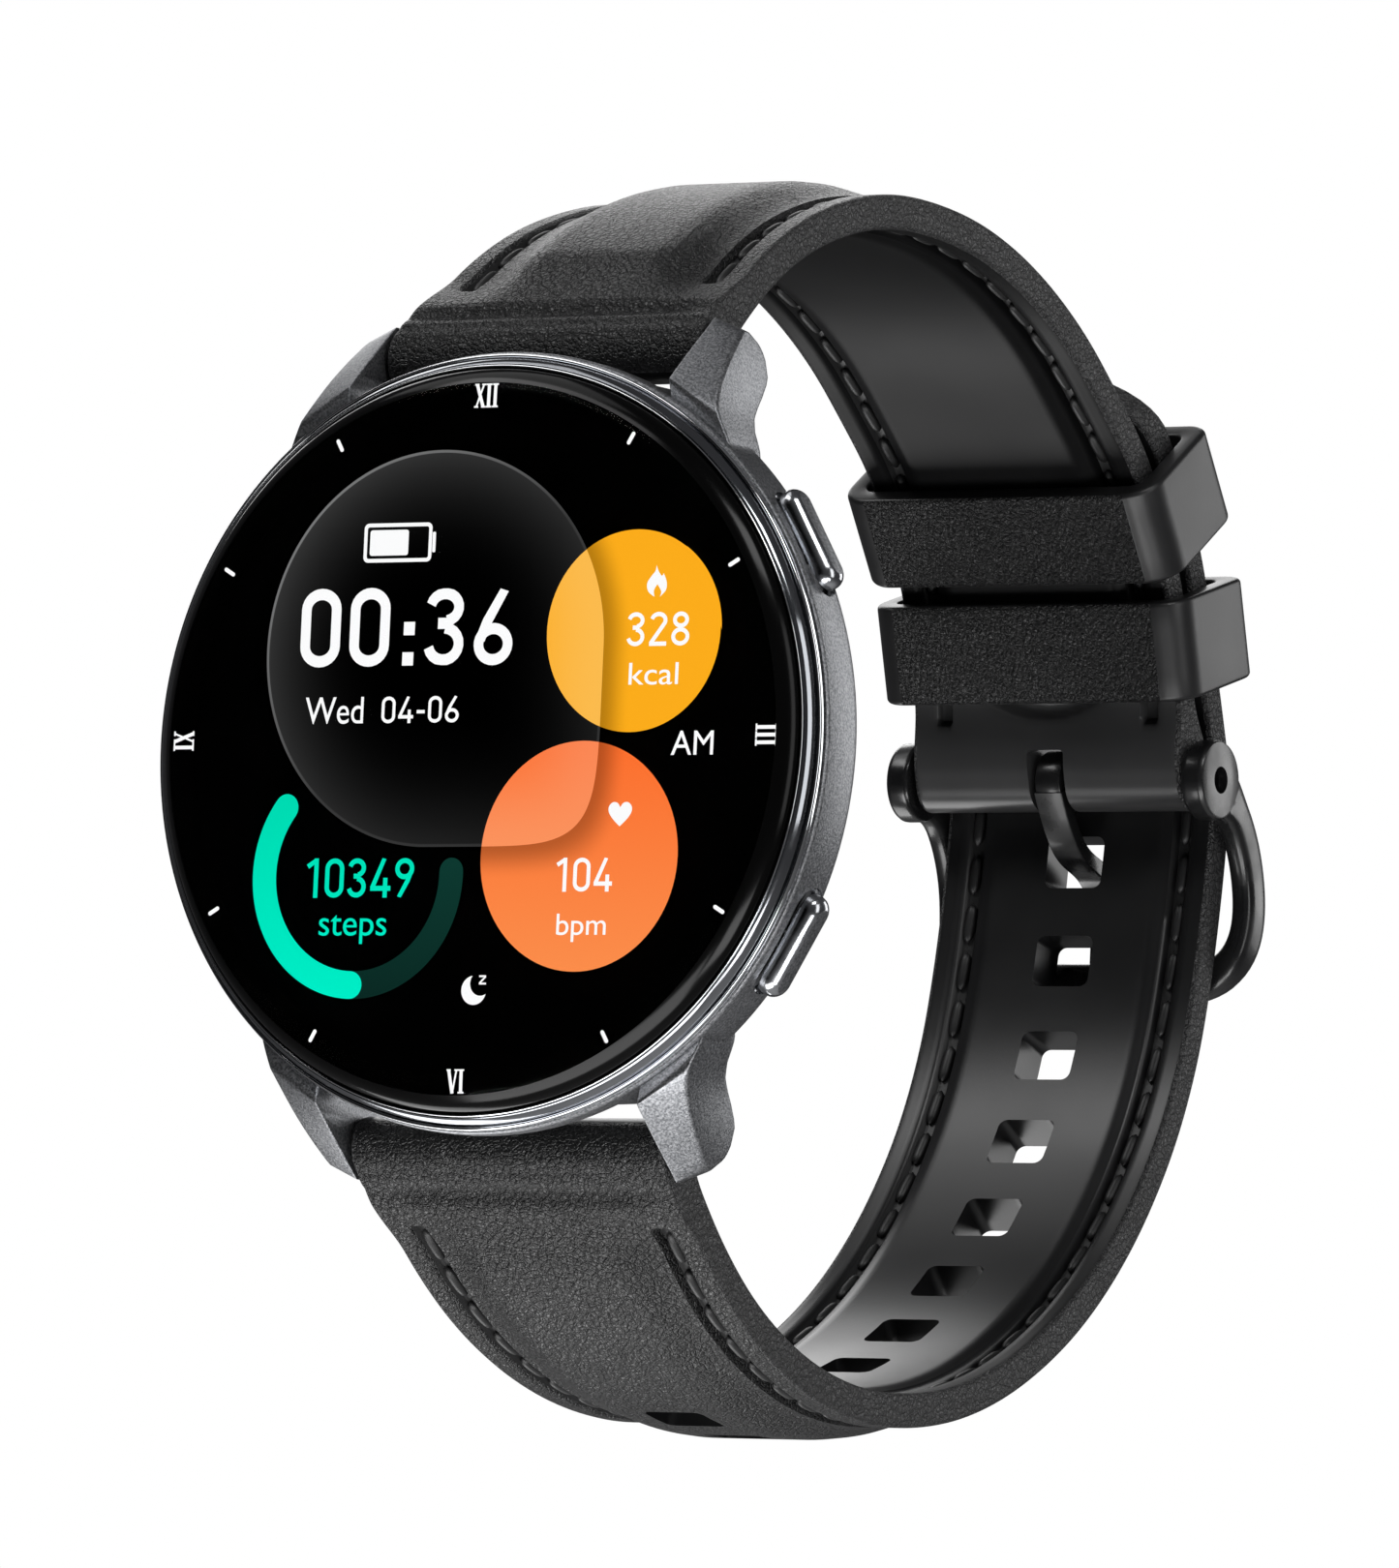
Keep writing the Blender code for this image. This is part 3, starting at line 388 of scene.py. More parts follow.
def boolean(obj, tool, kind="DIFFERENCE", transfer=False):
    mod = obj.modifiers.new("op", "BOOLEAN")
    mod.operation = kind
    mod.solver = "EXACT"
    if transfer:
        mod.material_mode = "TRANSFER"
    mod.object = tool
    bpy.context.view_layer.update()
    deps = bpy.context.evaluated_depsgraph_get()
    mesh = bpy.data.meshes.new_from_object(obj.evaluated_get(deps))
    obj.modifiers.clear()
    old = obj.data
    obj.data = mesh
    bpy.data.meshes.remove(old)
    data = tool.data
    bpy.data.objects.remove(tool, do_unlink=True)
    bpy.data.meshes.remove(data)
    return obj


def merge(name, objs):
    """Join meshes that share one material list."""
    bm = bmesh.new()
    for o in objs:
        bm.from_mesh(o.data)
    mesh = bpy.data.meshes.new(name)
    for m in objs[0].data.materials:
        mesh.materials.append(m)
    bm.to_mesh(mesh)
    bm.free()
    for o in objs:
        data = o.data
        bpy.data.objects.remove(o, do_unlink=True)
        bpy.data.meshes.remove(data)
    obj = bpy.data.objects.new(name, mesh)
    bpy.context.scene.collection.objects.link(obj)
    return obj


def rounded_box(name, half, centre, radius, axis, mats, seg=8):
    """A box whose four edges along one axis are rounded."""
    u, v = [i for i in range(3) if i != axis]
    pts = []
    for su, sv, a0 in ((1, 1, 0), (-1, 1, 90), (-1, -1, 180), (1, -1, 270)):
        for k in range(seg + 1):
            a = math.radians(a0 + 90 * k / seg)
            pts.append((su * (half[u] - radius) + radius * math.cos(a),
                        sv * (half[v] - radius) + radius * math.sin(a)))
    rings = []
    for w in (-half[axis], half[axis]):
        ring = []
        for a, b in pts:
            p = [0.0, 0.0, 0.0]
            p[u], p[v], p[axis] = centre[u] + a, centre[v] + b, centre[axis] + w
            ring.append(p)
        rings.append(ring)
    return skin(name, rings, mats)


def rod(name, radius, length, centre, axis, mats, seg=32, bevel=0.0):
    """A round bar with eased ends."""
    prof = [(0, -length / 2), (radius - bevel, -length / 2)]
    if bevel:
        prof += [(radius - bevel * 0.3, -length / 2 + bevel * 0.3), (radius, -length / 2 + bevel),
                 (radius, length / 2 - bevel), (radius - bevel * 0.3, length / 2 - bevel * 0.3)]
    else:
        prof[1] = (radius, -length / 2)
        prof.append((radius, length / 2))
    if bevel:
        prof += [(radius - bevel, length / 2)]
    prof.append((0, length / 2))
    obj = lathe(name, prof, mats, seg)
    turn = Vector(axis).to_track_quat("Y", "Z").to_matrix().to_4x4()
    obj.data.transform(Matrix.Translation(Vector(centre) * MM) @ turn)
    return obj


def ease(x, a, b):
    t = min(max((x - a) / (b - a), 0.0), 1.0)
    return t * t * (3.0 - 2.0 * t)


# ============================================================ smooth side paths
def smooth(points, step=0.25, dims=2):
    pts = [Vector((0.0, *p)) if dims == 2 else Vector(p) for p in points]
    pts = [pts[0] * 2 - pts[1]] + pts + [pts[-1] * 2 - pts[-2]]
    dense = []
    for i in range(1, len(pts) - 2):
        p0, p1, p2, p3 = pts[i - 1:i + 3]
        t0 = 0.0
        t1 = t0 + (p1 - p0).length ** 0.5
        t2 = t1 + (p2 - p1).length ** 0.5
        t3 = t2 + (p3 - p2).length ** 0.5
        for k in range(24):
            t = t1 + (t2 - t1) * k / 24
            a1 = p0 * ((t1 - t) / (t1 - t0)) + p1 * ((t - t0) / (t1 - t0))
            a2 = p1 * ((t2 - t) / (t2 - t1)) + p2 * ((t - t1) / (t2 - t1))
            a3 = p2 * ((t3 - t) / (t3 - t2)) + p3 * ((t - t2) / (t3 - t2))
            b1 = a1 * ((t2 - t) / (t2 - t0)) + a2 * ((t - t0) / (t2 - t0))
            b2 = a2 * ((t3 - t) / (t3 - t1)) + a3 * ((t - t1) / (t3 - t1))
            dense.append(b1 * ((t2 - t) / (t2 - t1)) + b2 * ((t - t1) / (t2 - t1)))
    dense.append(pts[-2])
    run = [0.0]
    for a, b in zip(dense[:-1], dense[1:]):
        run.append(run[-1] + (b - a).length)
    total = run[-1]
    count = max(2, round(total / step))
    out, j = [], 0
    for k in range(count + 1):
        s = total * k / count
        while j < len(run) - 2 and run[j + 1] < s:
            j += 1
        f = (s - run[j]) / max(run[j + 1] - run[j], 1e-9)
        out.append(dense[j].lerp(dense[j + 1], f))
    for _ in range(20):
        out = [out[0]] + [(out[i - 1] + out[i] * 2 + out[i + 1]) / 4
                          for i in range(1, len(out) - 1)] + [out[-1]]
    return out, total


class SidePath:
    def __init__(self, points, side):
        self.pts, self.length = smooth(points)
        self.side = side

    def at(self, s):
        n = len(self.pts) - 1
        if s < 0 or s > self.length:
            k = 0 if s < 0 else n - 1
            run = (self.pts[k + 1] - self.pts[k]).normalized()
            end = self.pts[0] if s < 0 else self.pts[n]
            place = end + run * (s if s < 0 else s - self.length)
        else:
            f = s / self.length * n
            k = min(int(f), n - 1)
            place = self.pts[k].lerp(self.pts[k + 1], f - k)
            run = (self.pts[min(k + 3, n)] - self.pts[max(k - 2, 0)]).normalized()
        return place, run, Vector((0.0, -run.z, run.y)) * self.side

    def point(self, x, s, n):
        place, run, out = self.at(s)
        return place + out * n + Vector((x, 0.0, 0.0))


def on_stack(radius, degrees):
    a = math.radians(degrees)
    return (STACK_Y + radius * math.cos(a), STACK_Z + radius * math.sin(a))


LONG = SidePath([(BAR_Y, -BAR_Z), (-1.98, -25.01), (1.8, -28.8), (6.1, -32.0), (10.9, -34.4),
                 (16.0, -36.0), (21.3, -36.8), (26.6, -36.8), (31.9, -36.1), (37.1, -34.6),
                 (42.0, -32.4), (46.5, -29.6), (50.6, -26.1), (54.1, -22.1), (57.0, -17.6),
                 (59.1, -12.7), (60.4, -7.5), (61.2, -2.5), (61.6, 1.5), (61.6, 4.6), (60.5, 8.2),
                 on_stack(LONG_R, 15), on_stack(LONG_R, 24), on_stack(LONG_R, 34),
                 on_stack(LONG_R, 44), (49.0, 28.9)], -1.0)
SHORT = SidePath([(BAR_Y, BAR_Z), (-0.5, 26.02), (3.1, 28.9), (7.0, 31.2), (11.2, 32.9),
                  (15.6, 34.1), (20.1, 34.7), (24.7, 34.7), (29.2, 34.2), (33.6, 33.1),
                  (37.9, 31.4), (41.9, 29.2), (45.6, 26.5), on_stack(SHORT_R, 44),
                  on_stack(SHORT_R, 34), on_stack(SHORT_R, 24), on_stack(SHORT_R, 14),
                  (56.95, 8.1), (PIN_Y, PIN_Z)], 1.0)
LONG_L, SHORT_L = LONG.length, SHORT.length
TANG_HOLE = min((k * 0.05 for k in range(int(LONG_L * 20)) if LONG.at(k * 0.05)[0].y > 50.0),
                key=lambda s: abs(LONG.at(s)[0].z + 0.8))
TIP = 5.2


def strap_width(s):
    return 21.6 - 2.4 * min(max(s / 29.0, 0.0), 1.0)


# distances from the strap's edge where the cross-section has a vertex
ACROSS = (0.0, 0.03, 0.09, 0.18, 0.30, 0.6, 1.0, 1.4, 1.68, 1.8, 1.92, 2.05, 2.2, 2.35, 2.5,
          2.62, 2.74, 2.86, 3.0, 3.2, 3.45, 3.75, 4.1, 4.5, 5.0, 5.7, 6.5, 7.4, 8.4)
EDGE_R = 0.30


def edge_drop(d):
    return 0.0 if d >= EDGE_R else EDGE_R - math.sqrt(max(EDGE_R ** 2 - (EDGE_R - d) ** 2, 0.0))


def shoulder(s, d):
    """Extra height where the outer leather leaves the rolled end, and the crease there."""
    crease = (0.10 + 0.26 * ease(d, 0.2, 3.5)) * math.exp(-((s - 2.0) / 0.55) ** 2)
    return 0.72 * ease(s, 0.3, 1.9) * (1.0 - ease(s, 2.2, 7.0)) - crease


def channel(d):
    """The stitch channel: flat-bottomed, with soft walls."""
    return 1.0 - ease(abs(d - 2.22), 0.36, 0.64)


def strap_skin(name, path, stations, width, half, pad_out, pad_in, chan_out, chan_in):
    rings = []
    for s in stations:
        w, h = width(s) / 2, half(s)
        k = min(1.0, w / 9.6)
        ds = [d * k for d in ACROSS]
        xs = [w - d for d in ds] + [0.0]
        soft = min(1.0, h / 0.8)

        def top(x, sign):
            d = (w - abs(x)) / k
            lift = (pad_out if sign > 0 else pad_in)(s, x, d)
            dig = (chan_out if sign > 0 else chan_in)(s) * channel(d) * 0.6
            return sign * (h - edge_drop(d) * soft + lift - dig)

        upper = [(x, top(x, 1)) for x in xs] + [(-x, top(x, 1)) for x in reversed(xs[:-1])]
        lower = [(-x, top(x, -1)) for x in xs] + [(x, top(x, -1)) for x in reversed(xs[:-1])]
        rings.append([path.point(x, s, n) for x, n in upper + lower])
    count = len(ACROSS)

    def which(i, k):
        m = 2 * count + 1
        if k == m - 1 or k == 2 * m - 1:
            return 1
        j = k if k < m else k - m
        near = min(j, m - 2 - j)
        if near < 4:
            return 1
        if 8 <= near <= 14 and (chan_out if k < m else chan_in)(stations[i]) > 0.5:
            return 3
        return 0 if k < m else 2

    return skin(name, rings, [GRAIN, SIDE, SATIN, THREAD], which, cap=1, sharp=50)


def barrel(s, radius, base):
    """Half-thickness of a rolled end that settles into the flat strap."""
    if s <= 0.0:
        return max(math.sqrt(max(radius ** 2 - s * s, 0.0)), 0.02)
    roll = math.sqrt(max(radius ** 2 - s * s, 0.0)) if s < radius else 0.0
    return max(roll, base + 0.10 * math.exp(-((s - radius) / 0.9) ** 2)) if s < 6 else base


def nose_marks(radius, sign, base):
    return [base + sign * radius * math.sin(math.radians(a)) for a in
            (88, 84, 78, 70, 61, 52, 43, 34, 25, 16, 8, 0)]


def marks(a, b, step):
    n = max(1, round((b - a) / step))
    return [a + (b - a) * k / n for k in range(n + 1)]


# ------------------------------------------------------------------ long strap
def long_half(s):
    if s > LONG_L - TIP:
        return STRAP_HALF * (1.0 - 0.25 * ((s - LONG_L + TIP) / TIP) ** 4)
    return barrel(s, BARREL_R, STRAP_HALF)


def long_width(s):
    if s > LONG_L - TIP:
        return 19.2 * math.sqrt(max(1.0 - ((s - LONG_L + TIP) / TIP) ** 2, 0.0001))
    return strap_width(s)


def long_pad_out(s, x, d):
    rise = (0.80 + 0.18 * (1.0 - ease(s, 18, 38))) * ease(s, 2.2, 8.0) * (1.0 - 0.5 * ease(s, 40, 62)) * (1.0 - ease(s, LONG_L - 9, LONG_L - 4))
    return rise * ease(d, 2.8, 6.4) + shoulder(s, d)


def long_pad_in(s, x, d):
    rise = 0.30 * ease(s, 3, 9) * (1.0 - 0.5 * ease(s, 84, 92)) * (1.0 - ease(s, LONG_L - 9, LONG_L - 4))
    return rise * ease(d, 2.7, 3.8)


def long_chan(s):
    return ease(s, 4.5, 4.9) * (1.0 - ease(s, LONG_L - 8.6, LONG_L - 8.0))


stations = nose_marks(BARREL_R, -1.0, 0.0) + marks(0.25, 9.0, 0.35) + marks(9.7, LONG_L - TIP, 0.8)
stations += [LONG_L - TIP + TIP * k for k in (0.12, 0.24, 0.36, 0.48, 0.6, 0.7, 0.78, 0.85, 0.91,
                                               0.95, 0.98, 0.995)]
long_strap = strap_skin("long_strap_skin", LONG, stations, long_width, long_half, long_pad_out,
                        long_pad_in, long_chan, long_chan)


def hole_tool(path, s, w=2.0, h=1.65, c=0.55, depth=4.0):
    place, run, out = path.at(s)
    flat = []
    for sx, sv, a0 in ((1, 1, 0), (-1, 1, 90), (-1, -1, 180), (1, -1, 270)):
        for k in range(6):
            a = math.radians(a0 + 90 * k / 5)
            flat.append((sx * (w - c) + c * math.cos(a), sv * (h - c) + c * math.sin(a)))
    rings = [[place + Vector((x, 0, 0)) + run * v + out * n for x, v in flat] for n in (-depth, depth)]
    return skin("tool", rings, [GRAIN, SIDE, SATIN], lambda i, k: 2, cap=2)


tools = [hole_tool(LONG, TANG_HOLE - k * 6.5) for k in range(-1, 11)]
boolean(long_strap, merge("tools", tools))
boolean(long_strap, rod("bore", 0.9, 30.0, (0, BAR_Y, -BAR_Z), (1, 0, 0), [GRAIN, SIDE, SATIN], 32))
shade(long_strap, 50)
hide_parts("long_strap")
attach(long_strap, "long_strap")


# ----------------------------------------------------------------- short strap
def short_half(s):
    if s < SHORT_L - 8:
        return barrel(s, BARREL_R, STRAP_HALF)
    if s <= SHORT_L:
        swell = (PIN_BARREL_R - STRAP_HALF) * ease(s, SHORT_L - 5.2, SHORT_L - 0.9)
        return STRAP_HALF + swell
    return math.sqrt(max(PIN_BARREL_R ** 2 - (s - SHORT_L) ** 2, 0.0004))


def short_pad_out(s, x, d):
    rise = (0.80 + 0.28 * (1.0 - ease(s, 18, 34))) * ease(s, 2.2, 8.0) * (1.0 - 0.55 * ease(s, 38, 50)) * (1.0 - ease(s, SHORT_L - 12, SHORT_L - 6))
    return rise * ease(d, 2.8, 6.4) + shoulder(s, d)


def short_pad_in(s, x, d):
    end = SHORT_L - 4.3 - 1.9 * (x / 4.6) ** 2
    rise = 0.30 * ease(s, 3, 9) * (1.0 - ease(s, end - 1.6, end - 0.5))
    dent = 0.55 * math.exp(-((s - end + 0.5) / 0.62) ** 4) * (1.0 - ease(abs(x), 4.4, 5.2))
    return rise * ease(d, 2.7, 3.8) - dent


def short_chan_in(s):
    return ease(s, 5.0, 5.4) * (1.0 - ease(s, SHORT_L - 4.0, SHORT_L - 3.7))


def short_chan_out(s):
    return ease(s, 5.0, 5.4) * (1.0 - ease(s, SHORT_L - 12.0, SHORT_L - 11.4))


stations = nose_marks(BARREL_R, -1.0, 0.0) + marks(0.25, 9.0, 0.35) + marks(9.7, SHORT_L - 11.0, 0.8)
stations += marks(SHORT_L - 10.6, SHORT_L, 0.25)[:-1] + list(reversed(nose_marks(PIN_BARREL_R, 1.0, SHORT_L)))
short_strap = strap_skin("short_strap_skin", SHORT, stations, strap_width, short_half, short_pad_out,
                         short_pad_in, short_chan_out, short_chan_in)
place, run, out = SHORT.at(SHORT_L)
flat = []
for sx, sv, a0 in ((1, 1, 0), (-1, 1, 90), (-1, -1, 180), (1, -1, 270)):
    for k in range(5):
        a = math.radians(a0 + 90 * k / 4)
        flat.append((sx * 1.0 + 0.3 * math.cos(a), 0.65 + sv * 2.7 + 0.3 * math.sin(a)))
slot_tool = skin("tool", [[place + Vector((x, 0, 0)) + run * v + out * n for x, v in flat]
                          for n in (-3.6, 3.6)], [GRAIN, SIDE, SATIN], lambda i, k: 2, cap=2)
boolean(short_strap, slot_tool)
for y, z in ((BAR_Y, BAR_Z), (PIN_Y, PIN_Z)):
    boolean(short_strap, rod("bore", 0.9, 30.0, (0, y, z), (1, 0, 0), [GRAIN, SIDE, SATIN], 32))
shade(short_strap, 50)
# the whole lining of the short strap takes the darker copy: painted shade
short_strap.data.materials[2] = SHADED_LINING
short_strap.data.materials.append(SMOOTH_PAINTED_SHEEN)
# lining faces near the buckle end take the lighter copy: painted sheen
for poly in short_strap.data.polygons:
    if poly.material_index == 2 and poly.center.y > 50 * MM and poly.center.z < 13 * MM:
        poly.material_index = len(short_strap.data.materials) - 1
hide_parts("short_strap")
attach(short_strap, "short_strap")


# -------------------------------------------------------------------- stitches
KEEPER_GRAIN.node_tree.nodes["Principled BSDF"].inputs["Specular IOR Level"].default_value = 0.45


def stitch_row(path, s0, s1, side, sign, width, half, skip=()):
    """Thread lying in a channel: one plump stitch after another."""
    verts, faces = [], []
    pitch, length = 3.15, 2.55
    n = int((s1 - s0) / pitch)
    for i in range(n):
        mid = s0 + pitch * (i + 0.5)
        if any(abs(mid - q) < r for q, r in skip):
            continue
        base = len(verts)
        cols = 10
        rows = 11
        for a in range(rows):
            u = -1 + 2 * a / (rows - 1)
            s = mid + u * length / 2
            fat = math.sqrt(max(1 - abs(u) ** 3.2, 0.0)) * 0.98 + 0.02
            w = width(s) / 2
            k = min(1.0, w / 9.6)
            x0 = w - 2.12 * k + 0.06 * u * side
            h0 = half(s) - 0.46
            for b in range(cols):
                t = 2 * math.pi * b / cols
                x = side * (x0 + 0.37 * fat * math.cos(t))
                hh = h0 + 0.02 + 0.32 * fat * math.sin(t)
                verts.append(path.point(x, s, sign * hh))
        for a in range(rows - 1):
            for b in range(cols):
                c = (b + 1) % cols
                faces.append((base + a * cols + b, base + a * cols + c,
                              base + (a + 1) * cols + c, base + (a + 1) * cols + b))
        faces.append(tuple(base + b for b in range(cols)))
        faces.append(tuple(base + (rows - 1) * cols + b for b in range(cols)))
    return verts, faces


def stitches(name, path, width, half, body, rows):
    verts, faces = [], []
    for s0, s1, sign in rows:
        for side in (1, -1):
            v, f = stitch_row(path, s0, s1, side, sign, width, half)
            off = len(verts)
            verts += v
            faces += [tuple(i + off for i in q) for q in f]
    obj = add(name, verts, faces, [THREAD], None, 60)
    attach(obj, body)
    return obj


stitches("long_strap_stitches", LONG, long_width, long_half, "long_strap",
         [(5.0, LONG_L - 8.6, 1), (5.0, LONG_L - 8.6, -1)])
stitches("short_strap_stitches", SHORT, strap_width, short_half, "short_strap",
         [(5.4, SHORT_L - 11.8, 1), (5.4, SHORT_L - 8.4, -1)])

# ======================================================================== case
shell = lathe("case_shell", [
    (0, Y0 + 1.85), (21.75, Y0 + 1.85), (21.75, Y0 + 2.2), (22.62, Y0 + 2.2), (22.78, Y0 + 2.25),
    (22.87, Y0 + 2.36), (22.9, Y0 + 2.5), (22.9, Y0 + 5.1), (22.87, Y0 + 5.38), (22.75, Y0 + 5.7),
    (22.55, Y0 + 5.93), (22.3, Y0 + 6.15), (21.2, Y0 + 7.2), (20.5, Y0 + 7.88), (20.36, Y0 + 8.0),
    (0, Y0 + 8.0)], [BLASTED, POLISHED], 192)

LUG_KEYS = [  # z at the inner face, z at the outer side, outer x, front y
    (18.9, 14.7, 15.75, 2.9), (20.2, 16.7, 15.45, 2.6), (20.8, 18.1, 14.85, 2.42),
    (21.1, 19.3, 14.25, 2.36), (21.6, 20.1, 14.02, 2.9), (22.6, 21.5, 13.72, 4.02),
    (23.6, 22.7, 13.48, 5.18), (24.4, 23.5, 13.28, 6.1), (25.0, 24.1, 13.12, 6.8),
    (25.25, 24.35, 13.05, 7.15)]
LUG_REAR = [(14.0, 5.2), (15.5, 5.7), (17.0, 6.45), (18.3, 6.6), (19.2, 7.1), (20.0, 7.95),
            (20.6, 8.6), (21.4, 9.3), (21.9, 9.6), (23.0, 9.62), (23.6, 9.38), (24.05, 8.9),
            (24.3, 8.35), (24.6, 8.05), (25.3, 7.45)]


def table(rows, x):
    if x <= rows[0][0]:
        return rows[0][1]
    for (a, b), (c, d) in zip(rows[:-1], rows[1:]):
        if x <= c:
            return b + (d - b) * (x - a) / (c - a)
    return rows[-1][1]


def lug(sx, sz):
    keys, _ = smooth([k[:3] for k in LUG_KEYS], 0.35, 3)
    total = len(keys) - 1
    front, _ = [k[3] for k in LUG_KEYS], None
    rings = []
    zin_keys = [k[0] for k in LUG_KEYS]
    for p in keys:
        z_in, z_out, x1 = p
        ya = table(list(zip(zin_keys, front)), z_in)
        x0 = 11.0
        outline = []
        corner = ((x0, ya, 0.16, 4), (x1, ya, 0.26, 5), (x1, None, 0.7, 5), (x0, None, 0.16, 4))
        spots = []
        for n, (cx, cy, r, seg) in enumerate(corner):
            for q in range(seg + 1):
                a = math.radians((180, 270, 0, 90)[n] + 90 * q / seg)
                spots.append((cx + (r if n in (0, 3) else -r) + r * math.cos(a), n, r, r * math.sin(a)))
        for x, n, r, dy in spots:
            z = z_in + (z_out - z_in) * (x - x0) / (x1 - x0)
            yb = max(table(LUG_REAR, z), ya + 0.36)
            r_fit = min(1.0, (yb - ya) / 1.3)
            if n < 2:
                y = ya + (r + dy) * r_fit
            else:
                y = yb - (r - dy) * r_fit
            outline.append((x * sx, Y0 + y, z * sz))
        rings.append(outline)
    return skin("lug", rings, [BLASTED, POLISHED])


for sx in (1, -1):
    for sz in (1, -1):
        boolean(shell, lug(sx, sz), "UNION")
boolean(shell, lathe("hollow", [
    (0, Y0 + 1.0), (20.7, Y0 + 1.0), (20.7, Y0 + 6.6), (16.8, Y0 + 6.6), (16.8, Y0 + 7.5),
    (20.05, Y0 + 7.5), (20.05, Y0 + 9.5), (0, Y0 + 9.5)], [BLASTED, POLISHED], 192))
for sz in (1, -1):
    boolean(shell, rounded_box("relief", (11.0, 5.0, 3.0), (0, Y0 + 8.5, 23.8 * sz), 0.9, 1,
                               [BLASTED, POLISHED]))
    for sx in (1, -1):
        boolean(shell, rod("bar_hole", 0.55, 2.6, (11.0 * sx, BAR_Y, BAR_Z * sz), (1, 0, 0),
                           [BLASTED, POLISHED], 24))


def radial_frame(degrees):
    a = math.radians(degrees)
    return (Vector((math.cos(a), 0.0, math.sin(a))), Vector((-math.sin(a), 0.0, math.cos(a))),
            Vector((0.0, 1.0, 0.0)))


def pill(name, length, width, steps, degrees, mats, index=None, cap=0, seg=14):
    """A round-ended block standing on a radius of the case; steps are (radius, inset)."""
    out, along, deep = radial_frame(degrees)
    rings = []
    for r, inset in steps:
        half, rad = length / 2 - width / 2, width / 2 - inset
        base = out * r + deep * BUTTON_Y
        ring = []
        for k in range(seg + 1):
            a = -math.pi / 2 + math.pi * k / seg
            ring.append(base + along * (half + rad * math.cos(a)) + deep * (rad * math.sin(a)))
        for k in range(seg + 1):
            a = math.pi / 2 + math.pi * k / seg
            ring.append(base + along * (-half + rad * math.cos(a)) + deep * (rad * math.sin(a)))
        rings.append(ring)
    return skin(name, rings, mats, index, cap)


for side, deg in (("upper", BUTTON_ANGLE), ("lower", -BUTTON_ANGLE)):
    out, along, deep = radial_frame(deg)
    pocket = pill("pocket", 7.1, 2.6, [(22.2, 0.1), (22.3, 0.0), (22.72, 0.0), (22.95, -0.16),
                                       (23.6, -0.6)], deg, [BLASTED, POLISHED], lambda i, k: 1, 1)
    boolean(shell, pocket)
    boolean(shell, rod("hole", 1.12, 4.0, out * 21.2 + deep * BUTTON_Y, out, [BLASTED, POLISHED], 32))
for deg in (45, 135, 225, 315):
    a = math.radians(deg)
    boolean(shell, rod("screw_hole", 0.62, 2.4, (17.8 * math.cos(a), Y0 + 7.05, 17.8 * math.sin(a)),
                       (0, 1, 0), [BLASTED, POLISHED], 20))
shade(shell, 30)
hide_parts("case_midframe")
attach(shell, "case")

bezel_line = [(21.83, Y0 + 1.5), (21.83, Y0 + 1.06)]
for k in range(11):
    a = math.radians(180 + 18 * k)
    bezel_line.append((21.905 + 0.075 * math.cos(a), Y0 + 0.99 + 0.085 * math.sin(a)))
bezel_line += [
    (21.98, Y0 + 1.10), (22.01, Y0 + 1.10), (22.05, Y0 + 1.045), (22.10, Y0 + 1.075),
    (22.18, Y0 + 1.165), (22.26, Y0 + 1.275), (22.33, Y0 + 1.39), (22.39, Y0 + 1.51),
    (22.425, Y0 + 1.62), (22.43, Y0 + 1.70), (22.46, Y0 + 1.77)]
for k in range(9):
    a = math.radians(190 + 21 * k)
    bezel_line.append((22.60 + 0.12 * math.cos(a), Y0 + 1.84 + 0.16 * math.sin(a)))
bezel_line += [(22.72, Y0 + 2.02), (22.70, Y0 + 2.12), (21.83, Y0 + 2.12)]
bezel = lathe("bezel_polished", bezel_line, [BEZEL, LIP], 256, closed=True, sharp=40,
              index=[1 if n < 13 or n > 24 else 0 for n in range(len(bezel_line))])
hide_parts("bezel_ring")
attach(bezel, "case")

for side, deg in (("upper", BUTTON_ANGLE), ("lower", -BUTTON_ANGLE)):
    out, along, deep = radial_frame(deg)
    push = pill(side + "_button_cap", 6.6, 2.1, [
        (22.8, 0.0), (23.2, 0.0), (23.36, 0.03), (23.52, 0.10), (23.67, 0.21), (23.80, 0.36),
        (23.88, 0.50), (23.9, 0.60)], deg, [POLISHED, BLASTED], lambda i, k: 0, 1)
    boolean(push, rod("stem", 0.8, 4.1, out * 21.05 + deep * BUTTON_Y, out, [POLISHED, BLASTED], 24),
            "UNION")
    for poly in push.data.polygons:       # the flat pad is blasted, its rim polished
        centre = poly.center / MM
        poly.material_index = 1 if abs(centre.dot(out) - 23.9) < 0.02 else 0
    shade(push, 30)
    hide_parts(side + "_button")
    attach(push, side + "_button")

# ======================================================================= glass
glass_look = Look("cover_glass_clear", (0.96, 0.965, 0.97), 0.0, 0.0, Transmission_Weight=1.0, IOR=1.22)
ripple = glass_look.noise(60, 1.0)
glass_look.feed(glass_look.ramp(ripple.outputs["Fac"], (0.3, (0.955, 0.96, 0.965)), (0.9, (0.97, 0.975, 0.98))),
                "Base Color")
glass_edge = Look("cover_glass_shoulder", (0.96, 0.965, 0.97), 0.0, 0.0, Transmission_Weight=1.0, IOR=1.07)
glass_edge.feed(glass_edge.ramp(glass_edge.noise(60, 1.0).outputs["Fac"], (0.3, (0.955, 0.96, 0.965)),
                                (0.9, (0.97, 0.975, 0.98))), "Base Color")
glass_rim = Look("glass_rim_print", (0.0012, 0.0012, 0.0013), 0.15, 0.0, IOR=1.26)
rim_noise = glass_rim.noise(60, 1.0)
glass_rim.feed(glass_rim.ramp(rim_noise.outputs["Fac"], (0.3, 0.13), (0.9, 0.20)), "Roughness")
glass_rim.feed(glass_rim.ramp(rim_noise.outputs["Fac"], (0.3, 0.0010), (0.9, 0.0016)), "Base Color")
